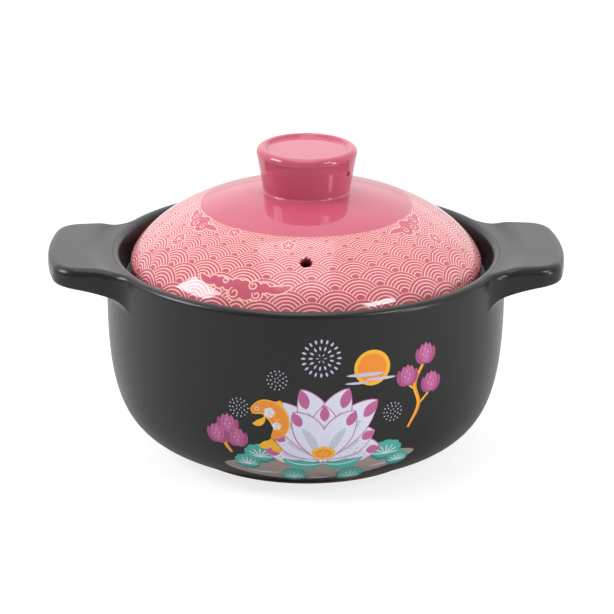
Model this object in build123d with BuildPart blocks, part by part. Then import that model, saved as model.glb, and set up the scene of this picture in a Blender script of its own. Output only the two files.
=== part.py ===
"""Clay pot with two lug handles and a domed lid, all fired ceramic.

The pot's axis is Z and its foot stands on Z = 0. The handles lie along X, the decorated front faces -Y
and the lid stands closed on its ledge. Sizes are millimetres and angles are degrees.
"""
import os
from math import cos, radians, sin, tan

from build123d import *

os.makedirs("parts", exist_ok=True)

# Outside of the body
body_diameter = 206.0
rim_height = 105.6
foot_inset = 38.5  # of the foot, from the wall
foot_height = 2.5
foot_edge_bevel = 0.7
belly_height = 84.0  # the wall stands upright above this height
belly_foot_reach = 29.4  # the belly's pull outward from the foot
belly_foot_lift = 8.1  # and upward there
belly_wall_drop = 57.8  # the upright wall's pull down into the belly
rim_width = 5.8
rim_flare = 3.7  # the rim's inner side opens this far above the ledge
rim_outer_roll = 2.9
rim_inner_roll = 3.4

# Inside of the body
wall = 7.5
base_thickness = 9.0
floor_inset = 18.5  # of the flat floor, from the side of the foot
floor_reach = 42.0  # the inside corner's pull outward along the floor
inner_wall_drop = 38.0  # and the inner wall's pull downward
foot_ring_width = 8.0
foot_recess = 1.6

# Ledge that carries the lid
ledge_depth = 14.2  # below the rim
ledge_width = 8.0
ledge_lip = 4.5  # upright face at the ledge's inner edge
ledge_brace = 9.0  # height of the slope under it
ledge_bevel = 1.0

# Lid
lid_side_clearance = 2.7
lid_edge_height = 7.9
lid_edge_round = 2.2
lid_rise = 39.7  # from the top of the edge to the crown
lid_edge_pull = 8.2  # the dome's pull upward at the edge
lid_crown_inset = 26.0  # of its pull at the crown, from the lid's edge
lid_thickness = 6.5
inner_edge_pull = 14.0
inner_crown_inset = 13.5
flange_clearance = 1.5
flange_thickness = 4.5
flange_depth = 5.0
flange_round = 1.4
steam_hole_diameter = 6.0
steam_hole_azimuth = -92.0
steam_hole_share = 0.3  # along the dome's curve, from the edge to the crown

# Knob
knob_height = 21.6  # above the crown
knob_radius = 26.45
knob_base_radius = 22.4
knob_wall = 5.0
knob_lip_round = 2.9
knob_dish_depth = 1.7
knob_dish_radius = 21.8
knob_dish_round = 1.6
knob_vent_diameter = 2.6
knob_vent_height = 10.4
knob_vent_azimuth = -31.0

# Handles
handle_reach = 30.3  # beyond the wall
handle_width = 82.0  # where it leaves the wall
handle_taper_angle = 7.0  # of each side
handle_corner_radius = 14.0
handle_flare_radius = 17.0
handle_flare_bite = 0.6  # the flare dips this far into the wall, so that it ends on a firm edge
handle_rise = 1.6  # of its level top, above the rim
handle_rise_run = 12.0  # the top sweeps up to that over this distance from the wall
handle_tip_depth = 8.4  # of its underside, below the rim
handle_root_depth = 13.9
handle_top_roll = 4.0
handle_bottom_roll = 4.0
handle_cove_radius = 7.0
handle_cove_turn = 55.0
handle_anchor = 26.0  # how far its blank runs inward from the wall

# Overrun of every cutting tool and blank
overrun = 5.0

# Radii and heights that follow from the sizes above
body_radius = body_diameter / 2
foot_radius = body_radius - foot_inset
floor_radius = foot_radius - floor_inset
inner_radius = body_radius - wall
rim_inner_radius = body_radius - rim_width
ledge_height = rim_height - ledge_depth
ledge_outer_radius = rim_inner_radius - rim_flare
ledge_inner_radius = ledge_outer_radius - ledge_width
lid_radius = ledge_outer_radius - lid_side_clearance
lid_crown_pull = lid_radius - lid_crown_inset
ledge_brace_top = ledge_height - ledge_lip
ledge_brace_foot = ledge_brace_top - ledge_brace
flange_radius = ledge_inner_radius - flange_clearance
flange_inner_radius = flange_radius - flange_thickness
inner_crown_pull = flange_inner_radius - inner_crown_inset
flange_foot = ledge_height - flange_depth
lid_edge_top = ledge_height + lid_edge_height
crown_height = lid_edge_top + lid_rise
knob_top = crown_height + knob_height
handle_tip_radius = body_radius + handle_reach
handle_blank_radius = handle_tip_radius + overrun
handle_root_radius = body_radius - handle_anchor
handle_taper = tan(radians(handle_taper_angle))
handle_height = rim_height + handle_rise


def handle_half_width(radius):
    """Half the handle's width between its straight sides at this distance from the pot's axis."""
    return handle_width / 2 - (radius - body_radius) * handle_taper


def dome_curve():
    """The outer curve of the lid's dome in the line being drawn, from its edge up to the crown."""
    return Bezier(
        (lid_radius, lid_edge_top),
        (lid_radius, lid_edge_top + lid_edge_pull),
        (lid_crown_pull, crown_height),
        (0, crown_height),
    )


def rounded_corner(before, corner, after, radius):
    """The rounding of a profile's corner in the line being drawn, as a Bezier along the arc of this radius.

    Its end handles are 4/3 of the radius times the tangent of a quarter of the turn, which keeps a cubic
    within a thousandth of the arc. A revolved Bezier meshes far more lightly than a torus does.
    """
    back = (Vector(before) - Vector(corner)).normalized()
    onward = (Vector(after) - Vector(corner)).normalized()
    turn = radians(180 - back.get_angle(onward))
    start = Vector(corner) + back * (radius * tan(turn / 2))
    end = Vector(corner) + onward * (radius * tan(turn / 2))
    pull = radius * tan(turn / 4) * 4 / 3
    return Bezier(start, start - back * pull, end - onward * pull, end)


def ring_edge(radius, height):
    """The circular edge nearest to this radius and height on the piece being made."""
    rings = edges().filter_by(GeomType.CIRCLE)
    return rings.sort_by(lambda ring: abs(ring.radius - radius) + abs(ring.center().Z - height))[0]


# Envelope of the body: all the space inside its outer wall, up to the plane of the rim
with BuildPart() as envelope:
    with BuildSketch(Plane.XZ):
        with BuildLine():
            foot_side = Line((foot_radius, 0), (foot_radius, foot_height))
            belly = Bezier(
                foot_side @ 1,
                (foot_radius + belly_foot_reach, foot_height + belly_foot_lift),
                (body_radius, belly_height - belly_wall_drop),
                (body_radius, belly_height),
            )
            upright = Line(belly @ 1, (body_radius, rim_height))
            Polyline(upright @ 1, (0, rim_height), (0, 0), foot_side @ 0)
        make_face()
    revolve(axis=Axis.Z)

# Blank of the right handle, which runs on into the wall. Its plan is a tapered lug with a tip about the
# pot's axis, rounded corners and hollow flares; its section is level on top, a little above the rim, and
# hollow underneath.
with BuildPart() as handle_blank:
    with BuildSketch(Plane.XY.offset(belly_height - overrun)):
        Circle(handle_tip_radius)
        with BuildLine():
            Polyline(
                (0, handle_half_width(0)),
                (handle_blank_radius, handle_half_width(handle_blank_radius)),
                (handle_blank_radius, -handle_half_width(handle_blank_radius)),
                (0, -handle_half_width(0)),
                close=True,
            )
        make_face(mode=Mode.INTERSECT)
        fillet(vertices().group_by(Axis.X)[-1], handle_corner_radius)
        wall_disc = Circle(body_radius - handle_flare_bite)
        wall_circle = wall_disc.edge()
        junctions = vertices().filter_by(
            lambda corner: corner.X > handle_root_radius
            and wall_circle.distance_to(corner) < handle_flare_bite
        )
        fillet(junctions, handle_flare_radius)
        with Locations((handle_root_radius, 0)):
            Rectangle(
                body_diameter,
                body_diameter,
                align=(Align.MIN, Align.CENTER),
                mode=Mode.INTERSECT,
            )
    extrude(amount=handle_height - belly_height + 2 * overrun)
    with BuildSketch(Plane.XZ):
        with BuildLine():
            root_top = Line((handle_root_radius - overrun, rim_height), (body_radius, rim_height))
            sweep = Bezier(
                root_top @ 1,
                (body_radius + handle_rise_run / 2, rim_height),
                (body_radius + handle_rise_run / 2, handle_height),
                (body_radius + handle_rise_run, handle_height),
            )
            blank_end = Polyline(
                sweep @ 1,
                (handle_blank_radius, handle_height),
                (handle_blank_radius, rim_height - handle_tip_depth),
            )
            underside = TangentArc(
                blank_end @ 1,
                (body_radius + handle_cove_radius / 2, rim_height - handle_root_depth),
                tangent=(-1, 0),
            )
            cove = JernArc(
                start=underside @ 1,
                tangent=underside % 1,
                radius=handle_cove_radius,
                arc_size=handle_cove_turn,
            )
            Polyline(cove @ 1, (handle_root_radius - overrun, (cove @ 1).Y), root_top @ 0)
        make_face()
    revolve(axis=Axis.Z, mode=Mode.INTERSECT)
    tip_top = edges().group_by(Axis.Z)[-1].sort_by(Axis.X)[-1]
    fillet(tip_top, handle_top_roll)
    tip_bottom = edges().filter_by(GeomType.CIRCLE).filter_by(
        lambda edge: edge.center().Z < rim_height - handle_tip_depth / 2
    ).sort_by(Axis.X)[-1]
    fillet(tip_bottom, handle_bottom_roll)

right_blank = handle_blank.part
left_blank = mirror(handle_blank.part, about=Plane.YZ)

# Body: the turned outside with its rolled rim, the roots of both handles, then the cavity with its ledge
with BuildPart() as pot_body:
    add(envelope.part)
    fillet(ring_edge(body_radius, rim_height), rim_outer_roll)
    add(right_blank & envelope.part)
    add(left_blank & envelope.part)
    with BuildSketch(Plane.XZ):
        with BuildLine():
            floor = Line((0, base_thickness), (floor_radius, base_thickness))
            corner = Bezier(
                floor @ 1,
                (floor_radius + floor_reach, base_thickness),
                (inner_radius, ledge_brace_foot - inner_wall_drop),
                (inner_radius, ledge_brace_foot),
            )
            Polyline(
                corner @ 1,
                (ledge_inner_radius, ledge_brace_top),
                (ledge_inner_radius, ledge_height),
                (ledge_outer_radius, ledge_height),
                (rim_inner_radius, rim_height),
                (0, rim_height),
                floor @ 0,
            )
        make_face()
    revolve(axis=Axis.Z, mode=Mode.SUBTRACT)
    fillet(ring_edge(rim_inner_radius, rim_height), rim_inner_roll)
    chamfer(ring_edge(ledge_inner_radius, ledge_height), ledge_bevel)
    chamfer(ring_edge(foot_radius, 0), foot_edge_bevel)
    with BuildSketch():
        Circle(foot_radius - foot_ring_width)
    extrude(amount=foot_recess, mode=Mode.SUBTRACT)

# Handles: what the blanks hold outside the wall
with BuildPart() as right_handle:
    add(right_blank)
    add(envelope.part, mode=Mode.SUBTRACT)

with BuildPart() as left_handle:
    add(left_blank)
    add(envelope.part, mode=Mode.SUBTRACT)

# Lid: a thrown dome whose edge stands on the ledge and whose flange drops inside it
with BuildPart() as lid_dome:
    with BuildSketch(Plane.XZ):
        with BuildLine():
            flange_inner = rounded_corner(
                (flange_inner_radius, ledge_height),
                (flange_inner_radius, flange_foot),
                (flange_radius, flange_foot),
                flange_round,
            )
            flange_outer = rounded_corner(
                (flange_inner_radius, flange_foot),
                (flange_radius, flange_foot),
                (flange_radius, ledge_height),
                flange_round,
            )
            dome = dome_curve()
            edge = rounded_corner(
                (flange_radius, ledge_height),
                (lid_radius, ledge_height),
                dome @ 0,
                lid_edge_round,
            )
            Line(flange_inner @ 1, flange_outer @ 0)
            Polyline(flange_outer @ 1, (flange_radius, ledge_height), edge @ 0)
            Line(edge @ 1, dome @ 0)
            crown = Line(dome @ 1, (0, crown_height - lid_thickness))
            inside = Bezier(
                crown @ 1,
                (inner_crown_pull, crown_height - lid_thickness),
                (flange_inner_radius, ledge_height + inner_edge_pull),
                (flange_inner_radius, ledge_height),
            )
            Line(inside @ 1, flange_inner @ 0)
        make_face()
    revolve(axis=Axis.Z)

    hole_place = dome @ steam_hole_share
    hole_slope = dome % steam_hole_share
    hole_heading = Vector(cos(radians(steam_hole_azimuth)), sin(radians(steam_hole_azimuth)), 0)
    hole_plane = Plane(
        origin=hole_heading * hole_place.X + Vector(0, 0, hole_place.Y),
        z_dir=hole_heading * hole_slope.Y + Vector(0, 0, -hole_slope.X),
    )
    with BuildSketch(hole_plane):
        Circle(steam_hole_diameter / 2)
    extrude(amount=lid_thickness + overrun, both=True, mode=Mode.SUBTRACT)

# The space under the dome's outer curve, which the knob is cut to
with BuildPart() as dome_space:
    with BuildSketch(Plane.XZ):
        with BuildLine():
            arch = dome_curve()
            Polyline(arch @ 1, (0, lid_edge_top), arch @ 0)
        make_face()
    revolve(axis=Axis.Z)

# Knob: a hollow, flared drum with a rolled lip and a dished top, standing on the crown
with BuildPart() as lid_knob:
    knob_flare = (knob_radius - knob_base_radius) / knob_height
    knob_foot = crown_height - overrun
    knob_foot_radius = knob_base_radius - knob_flare * overrun
    with BuildSketch(Plane.XZ):
        with BuildLine():
            outline = FilletPolyline(
                (knob_foot_radius, knob_foot),
                (knob_radius, knob_top),
                (knob_dish_radius, knob_top),
                (knob_dish_radius - knob_dish_depth, knob_top - knob_dish_depth),
                (0, knob_top - knob_dish_depth),
                radius=(knob_lip_round, knob_dish_round, knob_dish_round),
            )
            Polyline(outline @ 1, (0, knob_foot), outline @ 0)
        make_face()
    revolve(axis=Axis.Z)
    with BuildSketch(Plane.XZ):
        with BuildLine():
            hollow_top = knob_top - knob_dish_depth - knob_wall
            hollow_top_radius = knob_base_radius + knob_flare * (hollow_top - crown_height) - knob_wall
            Polyline(
                (0, knob_foot),
                (knob_foot_radius - knob_wall, knob_foot),
                (hollow_top_radius, hollow_top),
                (0, hollow_top),
                close=True,
            )
        make_face()
        fillet(vertices().sort_by_distance((hollow_top_radius, hollow_top))[0], knob_lip_round)
    revolve(axis=Axis.Z, mode=Mode.SUBTRACT)
    add(dome_space.part, mode=Mode.SUBTRACT)
    vent_plane = Plane(
        origin=(0, 0, crown_height + knob_vent_height),
        z_dir=(cos(radians(knob_vent_azimuth)), sin(radians(knob_vent_azimuth)), 0),
    )
    with BuildSketch(vent_plane):
        Circle(knob_vent_diameter / 2)
    extrude(amount=knob_radius + overrun, mode=Mode.SUBTRACT)

pieces = {
    "pot_body": pot_body,
    "left_handle": left_handle,
    "right_handle": right_handle,
    "lid_dome": lid_dome,
    "lid_knob": lid_knob,
}
for label, piece in pieces.items():
    piece.part.label = label
    export_step(piece.part, f"parts/{label}.step")
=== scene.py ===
"""Looks of a glazed clay pot with two lug handles and a patterned, domed lid.

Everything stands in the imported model's frame: the foot rests on Z = 0, the handles lie along X and the
decorated front faces -Y. Sizes are written in millimetres, and meshes are turned to metres as they are made.
"""
import logging
import math
from dataclasses import dataclass, field
from enum import Enum
from typing import Callable, Optional, Sequence, Union

import bpy
import numpy as np
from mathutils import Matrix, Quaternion, Vector


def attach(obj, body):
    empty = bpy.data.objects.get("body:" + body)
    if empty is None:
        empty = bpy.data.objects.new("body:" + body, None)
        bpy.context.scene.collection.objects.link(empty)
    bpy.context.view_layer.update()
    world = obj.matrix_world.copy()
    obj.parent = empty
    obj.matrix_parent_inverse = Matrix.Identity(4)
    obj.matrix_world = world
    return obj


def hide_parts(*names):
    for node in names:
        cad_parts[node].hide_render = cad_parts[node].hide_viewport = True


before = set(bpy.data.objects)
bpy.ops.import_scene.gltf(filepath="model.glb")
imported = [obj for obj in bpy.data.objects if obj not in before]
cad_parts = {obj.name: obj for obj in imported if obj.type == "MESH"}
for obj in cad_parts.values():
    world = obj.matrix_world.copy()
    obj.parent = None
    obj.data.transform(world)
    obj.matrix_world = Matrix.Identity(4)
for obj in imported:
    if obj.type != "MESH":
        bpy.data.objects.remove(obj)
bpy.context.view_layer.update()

MILLIMETRE = 0.001
PHOTO_TURN = 2.0  # degrees by which the photograph sees the pot turned about its axis
LOG = logging.getLogger("clay_pot")

Array = np.ndarray


class Body(Enum):
    """The bodies that pieces ride on."""

    POT = "pot"
    LID = "lid"


class Slot(Enum):
    """The record's material slots."""

    BLACK = "black_glaze"
    ROSE = "rose_glaze"


class Paint(Enum):
    """The paints of the prints."""

    WHITE = "white"
    LILAC = "lilac"
    PINK = "pink"
    PLUM = "plum"
    TEAL = "teal"
    PINE = "pine"
    ORANGE = "orange"
    YELLOW = "yellow"
    TAUPE = "taupe"
    ROSE = "rose"
    CREAM = "cream"


def linear(hex_colour: str) -> tuple:
    """Turns an sRGB hex colour to linear RGBA.

    Args:
        hex_colour: Six hex digits after a hash sign.

    Returns:
        Linear red, green and blue, and an alpha of 1.
    """
    values = [int(hex_colour[i:i + 2], 16) / 255 for i in (1, 3, 5)]
    return tuple(v / 12.92 if v <= 0.04045 else ((v + 0.055) / 1.055) ** 2.4 for v in values) + (1.0,)


def add_node(
    tree: bpy.types.NodeTree,
    kind: str,
    inputs: Optional[dict] = None,
    output: Union[str, int, None] = None,
    **settings: str,
) -> Union[bpy.types.Node, bpy.types.NodeSocket]:
    """Adds one shader node with its settings, values and links.

    Args:
        tree: The node tree that gets it.
        kind: The node's Blender type.
        inputs: For each input, by name or index, a socket to link or a value.
        output: The output wanted, by name or index.
        settings: Attributes to set on it.

    Returns:
        The output's socket, or the node where no output is asked for.
    """
    node = tree.nodes.new(kind)
    for name, value in settings.items():
        setattr(node, name, value)
    for name, value in (inputs or {}).items():
        if isinstance(value, bpy.types.NodeSocket):
            tree.links.new(value, node.inputs[name])
        else:
            node.inputs[name].default_value = value
    return node if output is None else node.outputs[output]


def work_out(tree: bpy.types.NodeTree, known: dict, steps: Sequence[tuple]) -> dict:
    """Works a formula out in math nodes, one step after another.

    Args:
        tree: The node tree that gets them.
        known: Named sockets to start from. Each step's result joins them.
        steps: Each step's name, math operation and operands, which are names or numbers.

    Returns:
        The named sockets.
    """
    for name, operation, *operands in steps:
        inputs = {i: known[o] if isinstance(o, str) else o for i, o in enumerate(operands)}
        known[name] = add_node(tree, "ShaderNodeMath", inputs, 0, operation=operation)
    return known


def new_material(name: str, values: dict) -> tuple:
    """Makes a node material.

    Args:
        name: Its name.
        values: Inputs of its Principled shader that are the same all over.

    Returns:
        The material, its node tree and its shader, which is linked to the output.
    """
    material = bpy.data.materials.new(name)
    material.use_nodes = True
    tree = material.node_tree
    tree.nodes.clear()
    shader = add_node(tree, "ShaderNodeBsdfPrincipled", values)
    add_node(tree, "ShaderNodeOutputMaterial", {"Surface": shader.outputs["BSDF"]})
    return material, tree, shader


def mottle(tree: bpy.types.NodeTree, colour: str, deep: str, per_metre: float, detail: float) -> tuple:
    """A colour that wanders between two in patches.

    Args:
        tree: The node tree that gets it.
        colour: The first colour in hex.
        deep: The other colour in hex.
        per_metre: How many patches fit in a metre.
        detail: How many finer layers the patches have.

    Returns:
        The sockets of the colour and of the patches.
    """
    place = add_node(tree, "ShaderNodeTexCoord", output="Object")
    noise = {"Vector": place, "Scale": per_metre, "Detail": detail}
    patches = add_node(tree, "ShaderNodeTexNoise", noise, "Fac")
    colours = {"Factor": patches, 6: linear(colour), 7: linear(deep)}
    return add_node(tree, "ShaderNodeMix", colours, 2, data_type="RGBA"), patches


def relief(
    tree: bpy.types.NodeTree,
    per_metre: float,
    detail: float,
    height_mm: float,
    finer: Optional[bpy.types.NodeSocket] = None,
) -> bpy.types.NodeSocket:
    """A bumpy surface: noise that lifts it.

    Args:
        tree: The node tree that gets it.
        per_metre: How many bumps fit in a metre.
        detail: How many finer layers the bumps have.
        height_mm: Their height.
        finer: The normal of a finer relief that it carries.

    Returns:
        The normal's socket.
    """
    place = add_node(tree, "ShaderNodeTexCoord", output="Object")
    noise = {"Vector": place, "Scale": per_metre, "Detail": detail}
    bumps = add_node(tree, "ShaderNodeTexNoise", noise, "Fac")
    lift = {"Strength": 1.0, "Distance": height_mm * MILLIMETRE, "Height": bumps}
    if finer is not None:
        lift["Normal"] = finer
    return add_node(tree, "ShaderNodeBump", lift, "Normal")


def unit(vectors: Array) -> Array:
    """The same vectors with a length of 1."""
    return vectors / np.maximum(np.linalg.norm(vectors, axis=-1, keepdims=True), 1e-12)


def about_axis(radius: Array, angle: Array, height: Array) -> Array:
    """Points in space at these radii, angles about the pot's axis in radians, and heights."""
    return np.stack(np.broadcast_arrays(radius * np.cos(angle), radius * np.sin(angle), height), -1)


def swept(profile: Array, rays: Array) -> Array:
    """A profile carried round the pot's axis: each radius times each ray, at its height.

    Args:
        profile: Radius and height of each row.
        rays: A unit vector in plan for each column.

    Returns:
        An array of shape (rows, columns, 3).
    """
    heights = np.repeat(profile[:, None, 1:], len(rays), axis=1)
    return np.concatenate([profile[:, None, :1] * rays, heights], axis=2)


def bezier(points: Sequence, count: int) -> Array:
    """Points along cubic Bezier curves, which mix their four points by Bernstein weights.

    Args:
        points: The four control points, or four arrays of them.
        count: How many points to return on each curve.

    Returns:
        An array whose first axis runs along the curves.
    """
    points = np.asarray(points, float)
    t = np.linspace(0.0, 1.0, count).reshape((-1,) + (1,) * (points.ndim - 1))
    a, b, c, d = points
    return (1 - t) ** 3 * a + 3 * (1 - t) ** 2 * t * b + 3 * (1 - t) * t**2 * c + t**3 * d


def arc(centre: tuple, radius: float, start: float, end: float, count: int) -> Array:
    """Points along a circular arc: the centre plus the radius times cosine and sine of each angle.

    Args:
        centre: Its centre.
        radius: Its radius.
        start: Angle of the first point, in degrees.
        end: Angle of the last point, in degrees.
        count: How many points to return.

    Returns:
        An array of shape (count, 2).
    """
    angle = np.radians(np.linspace(start, end, count))
    return np.asarray(centre) + radius * np.stack([np.cos(angle), np.sin(angle)], -1)


def rounded(corners: Sequence[tuple], radii: Sequence[float], steps: int = 7) -> Array:
    """A polyline whose inner corners are arcs tangent to both of their sides.

    Args:
        corners: The polyline's corners.
        radii: A radius for each inner corner.
        steps: Points on each arc.

    Returns:
        An array of shape (points, 2).
    """
    corners = np.asarray(corners, float)
    line = [corners[:1]]
    for before, corner, after, radius in zip(corners, corners[1:], corners[2:], radii):
        back = unit(before - corner)
        on = unit(after - corner)
        half = 0.5 * math.acos(float(np.clip(back @ on, -1.0, 1.0)))
        centre = corner + unit(back + on) * radius / math.sin(half)
        first = corner + back * radius / math.tan(half) - centre
        last = corner + on * radius / math.tan(half) - centre
        share = np.linspace(0.0, 1.0, steps)[:, None]
        turn = math.acos(float(np.clip(first @ last / radius**2, -1.0, 1.0)))
        mixed = np.sin((1 - share) * turn) * first + np.sin(share * turn) * last
        line.append(centre + mixed / math.sin(turn))
    line.append(corners[-1:])
    return np.concatenate(line)


def spread(line: Array, spacing: float) -> Array:
    """Splits a polyline's long steps into equal parts, and leaves its own points where they are.

    Args:
        line: The polyline.
        spacing: The longest step wanted.

    Returns:
        The denser polyline.
    """
    parts = np.maximum(1, np.ceil(np.linalg.norm(np.diff(line, axis=0), axis=1) / spacing)).astype(int)
    at = np.concatenate([i + np.arange(n) / n for i, n in enumerate(parts)] + [[len(line) - 1.0]])
    own = np.arange(len(line))
    return np.stack([np.interp(at, own, line[:, k]) for k in range(line.shape[1])], -1)


def evenly(lines: Array, count: int) -> Array:
    """Resamples many polylines at once, each at equal steps of its own length.

    Args:
        lines: Polylines of one length in points, shape (lines, points, dimensions).
        count: Points wanted on each.

    Returns:
        An array of shape (lines, count, dimensions).
    """
    steps = np.linalg.norm(np.diff(lines, axis=1), axis=2)
    run = np.concatenate([np.zeros((len(lines), 1)), np.cumsum(steps, axis=1)], axis=1)
    wanted = run[:, -1:] * np.linspace(0.0, 1.0, count)
    before = (run[:, None, :] <= wanted[:, :, None]).sum(axis=2) - 1
    before = np.clip(before, 0, lines.shape[1] - 2)
    low = np.take_along_axis(run, before, axis=1)
    high = np.take_along_axis(run, before + 1, axis=1)
    share = np.clip((wanted - low) / np.maximum(high - low, 1e-9), 0.0, 1.0)[..., None]
    start = np.take_along_axis(lines, before[..., None], axis=1)
    stop = np.take_along_axis(lines, before[..., None] + 1, axis=1)
    return start + (stop - start) * share


def grid_quads(rows: int, columns: int, closed: bool = False) -> Array:
    """The four corners of each face of a grid whose points are stored row by row.

    A face looks the way of its row direction crossed with its column direction.

    Args:
        rows: Rows of points.
        columns: Points in each row.
        closed: Whether the last column joins the first.

    Returns:
        An array of shape (rows - 1, faces in a row, 4).
    """
    across = np.arange(columns if closed else columns - 1)
    down = np.arange(rows - 1)[:, None] * columns
    beside = (across + 1) % columns
    return np.stack([down + across, down + columns + across, down + columns + beside, down + beside], -1)


def pole_fan(ring: Array, pole: int) -> Array:
    """Faces that join a pole to a closed ring of an even count, two ring edges at a time.

    Args:
        ring: Numbers of the ring's points, anticlockwise as seen from the side that the faces look to.
        pole: Number of the point in the middle.

    Returns:
        An array of shape (half the ring's count, 4).
    """
    first, second, third = ring[::2], ring[1::2], np.roll(ring, -2)[::2]
    return np.stack([np.full(len(first), pole), first, second, third], -1)


def corner_normals(points: Array, quads: Array) -> Array:
    """Vertex normals: the sum of the cross products of the diagonals of the faces around each point.

    Args:
        points: The mesh's points.
        quads: Its faces.

    Returns:
        Unit normals, one for each point.
    """
    first, second, third, fourth = (points[quads[:, corner]] for corner in range(4))
    facing = np.cross(third - first, fourth - second)
    total = np.zeros_like(points)
    for corner in range(4):
        np.add.at(total, quads[:, corner], facing)
    return unit(total)


def make_piece(
    name: str,
    points: Array,
    quads: Array,
    material: bpy.types.Material,
    body: Body,
    uv: Optional[Array] = None,
    normals: Optional[Array] = None,
) -> bpy.types.Object:
    """Puts points and faces into a mesh object that rides on a body.

    Args:
        name: The piece's name.
        points: Its points in millimetres.
        quads: Its faces, wound so that they point outwards.
        material: Its finish.
        body: The body that carries it.
        uv: A texture coordinate for each corner of each face.
        normals: A normal for each point, where they aren't Blender's own.

    Returns:
        The new object.
    """
    mesh = bpy.data.meshes.new(name)
    mesh.vertices.add(len(points))
    mesh.vertices.foreach_set("co", (points * MILLIMETRE).astype(np.float32).ravel())
    mesh.loops.add(quads.size)
    mesh.loops.foreach_set("vertex_index", quads.astype(np.int32).ravel())
    mesh.polygons.add(len(quads))
    mesh.polygons.foreach_set("loop_start", np.arange(0, quads.size, 4, dtype=np.int32))
    mesh.polygons.foreach_set("use_smooth", np.ones(len(quads), bool))
    mesh.update(calc_edges=True)
    if uv is not None:
        layer = mesh.uv_layers.new(name="surface")
        layer.data.foreach_set("uv", uv.astype(np.float32).ravel())
    mesh.validate()
    if normals is not None:
        mesh.normals_split_custom_set_from_vertices(normals.tolist())
    mesh.materials.append(material)
    piece = bpy.data.objects.new(name, mesh)
    bpy.context.scene.collection.objects.link(piece)
    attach(piece, body.value)
    LOG.info("%s: %d points, %d faces", name, len(points), len(quads))
    return piece


@dataclass(frozen=True)
class SatinBlackGlaze:
    """Stoneware under an iron-black satin glaze, dipped and fired. It gives soft, slightly grainy lights.

    The glaze stops short of the foot ring, where the clay shows brown.
    """

    glaze: str = "#191919"
    thin_glaze: str = "#201F1E"
    clay: str = "#7E6253"
    ior: float = 1.42
    roughness: float = 0.28
    sheen_range: float = 0.10
    bare_roughness: float = 0.35
    patches_per_metre: float = 22.0
    grain_mm: float = 0.9
    grain_height_mm: float = 0.012
    swells_per_metre: float = 90.0
    swell_height_mm: float = 0.03
    glaze_line_mm: float = 1.5
    lowest_share: float = 0.6
    wander_share: float = 0.8

    def material(self) -> bpy.types.Material:
        """Builds the finish: glaze with fine grain and patches of sheen, and bare clay under its edge.

        Returns:
            The new material.
        """
        material, tree, shader = new_material("satin_black_glaze", {"IOR": self.ior})
        tint, patches = mottle(tree, self.glaze, self.thin_glaze, self.patches_per_metre, 3.0)
        place = add_node(tree, "ShaderNodeTexCoord", output="Object")
        edge = self.glaze_line_mm * MILLIMETRE
        known = work_out(
            tree,
            {"z": add_node(tree, "ShaderNodeSeparateXYZ", {0: place}, "Z"), "noise": patches},
            [
                ("wander", "MULTIPLY_ADD", "noise", self.wander_share * edge, self.lowest_share * edge),
                ("above", "SUBTRACT", "z", "wander"),
                ("bare", "LESS_THAN", "above", 0.0),
                ("sheen", "MULTIPLY_ADD", "noise", self.sheen_range, self.roughness - self.sheen_range / 2),
                ("rough", "MULTIPLY_ADD", "bare", self.bare_roughness, "sheen"),
            ],
        )
        colours = {"Factor": known["bare"], 6: tint, 7: linear(self.clay)}
        colour = add_node(tree, "ShaderNodeMix", colours, 2, data_type="RGBA")
        fine = relief(tree, 1 / (self.grain_mm * MILLIMETRE), 2.0, self.grain_height_mm)
        normal = relief(tree, self.swells_per_metre, 1.0, self.swell_height_mm, fine)
        for name, socket in (("Base Color", colour), ("Roughness", known["rough"]), ("Normal", normal)):
            tree.links.new(socket, shader.inputs[name])
        return material


@dataclass(frozen=True)
class RoseGlaze:
    """White stoneware with a rose ground under clear gloss glaze. It gives sharp lights and pale edges."""

    rose: str = "#C45B71"
    deep_rose: str = "#B74C64"
    roughness: float = 0.07
    ior: float = 1.5
    patches_per_metre: float = 30.0
    swells_per_metre: float = 60.0
    swell_height_mm: float = 0.02

    def glazed(self, name: str) -> tuple:
        """Starts the finish with its clear glaze: smooth, with a very slow swell that bends its lights.

        Args:
            name: The material's name.

        Returns:
            The material, its node tree, its shader and the socket of the rose ground's colour.
        """
        material, tree, shader = new_material(name, {"Roughness": self.roughness, "IOR": self.ior})
        swell = relief(tree, self.swells_per_metre, 1.0, self.swell_height_mm)
        tree.links.new(swell, shader.inputs["Normal"])
        ground = mottle(tree, self.rose, self.deep_rose, self.patches_per_metre, 2.0)[0]
        return material, tree, shader, ground

    def material(self, name: str = "rose_glaze") -> bpy.types.Material:
        """Builds the plain finish, whose colour gathers a little deeper in slow patches.

        Args:
            name: The material's name.

        Returns:
            The new material.
        """
        material, tree, shader, ground = self.glazed(name)
        tree.links.new(ground, shader.inputs["Base Color"])
        return material


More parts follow.
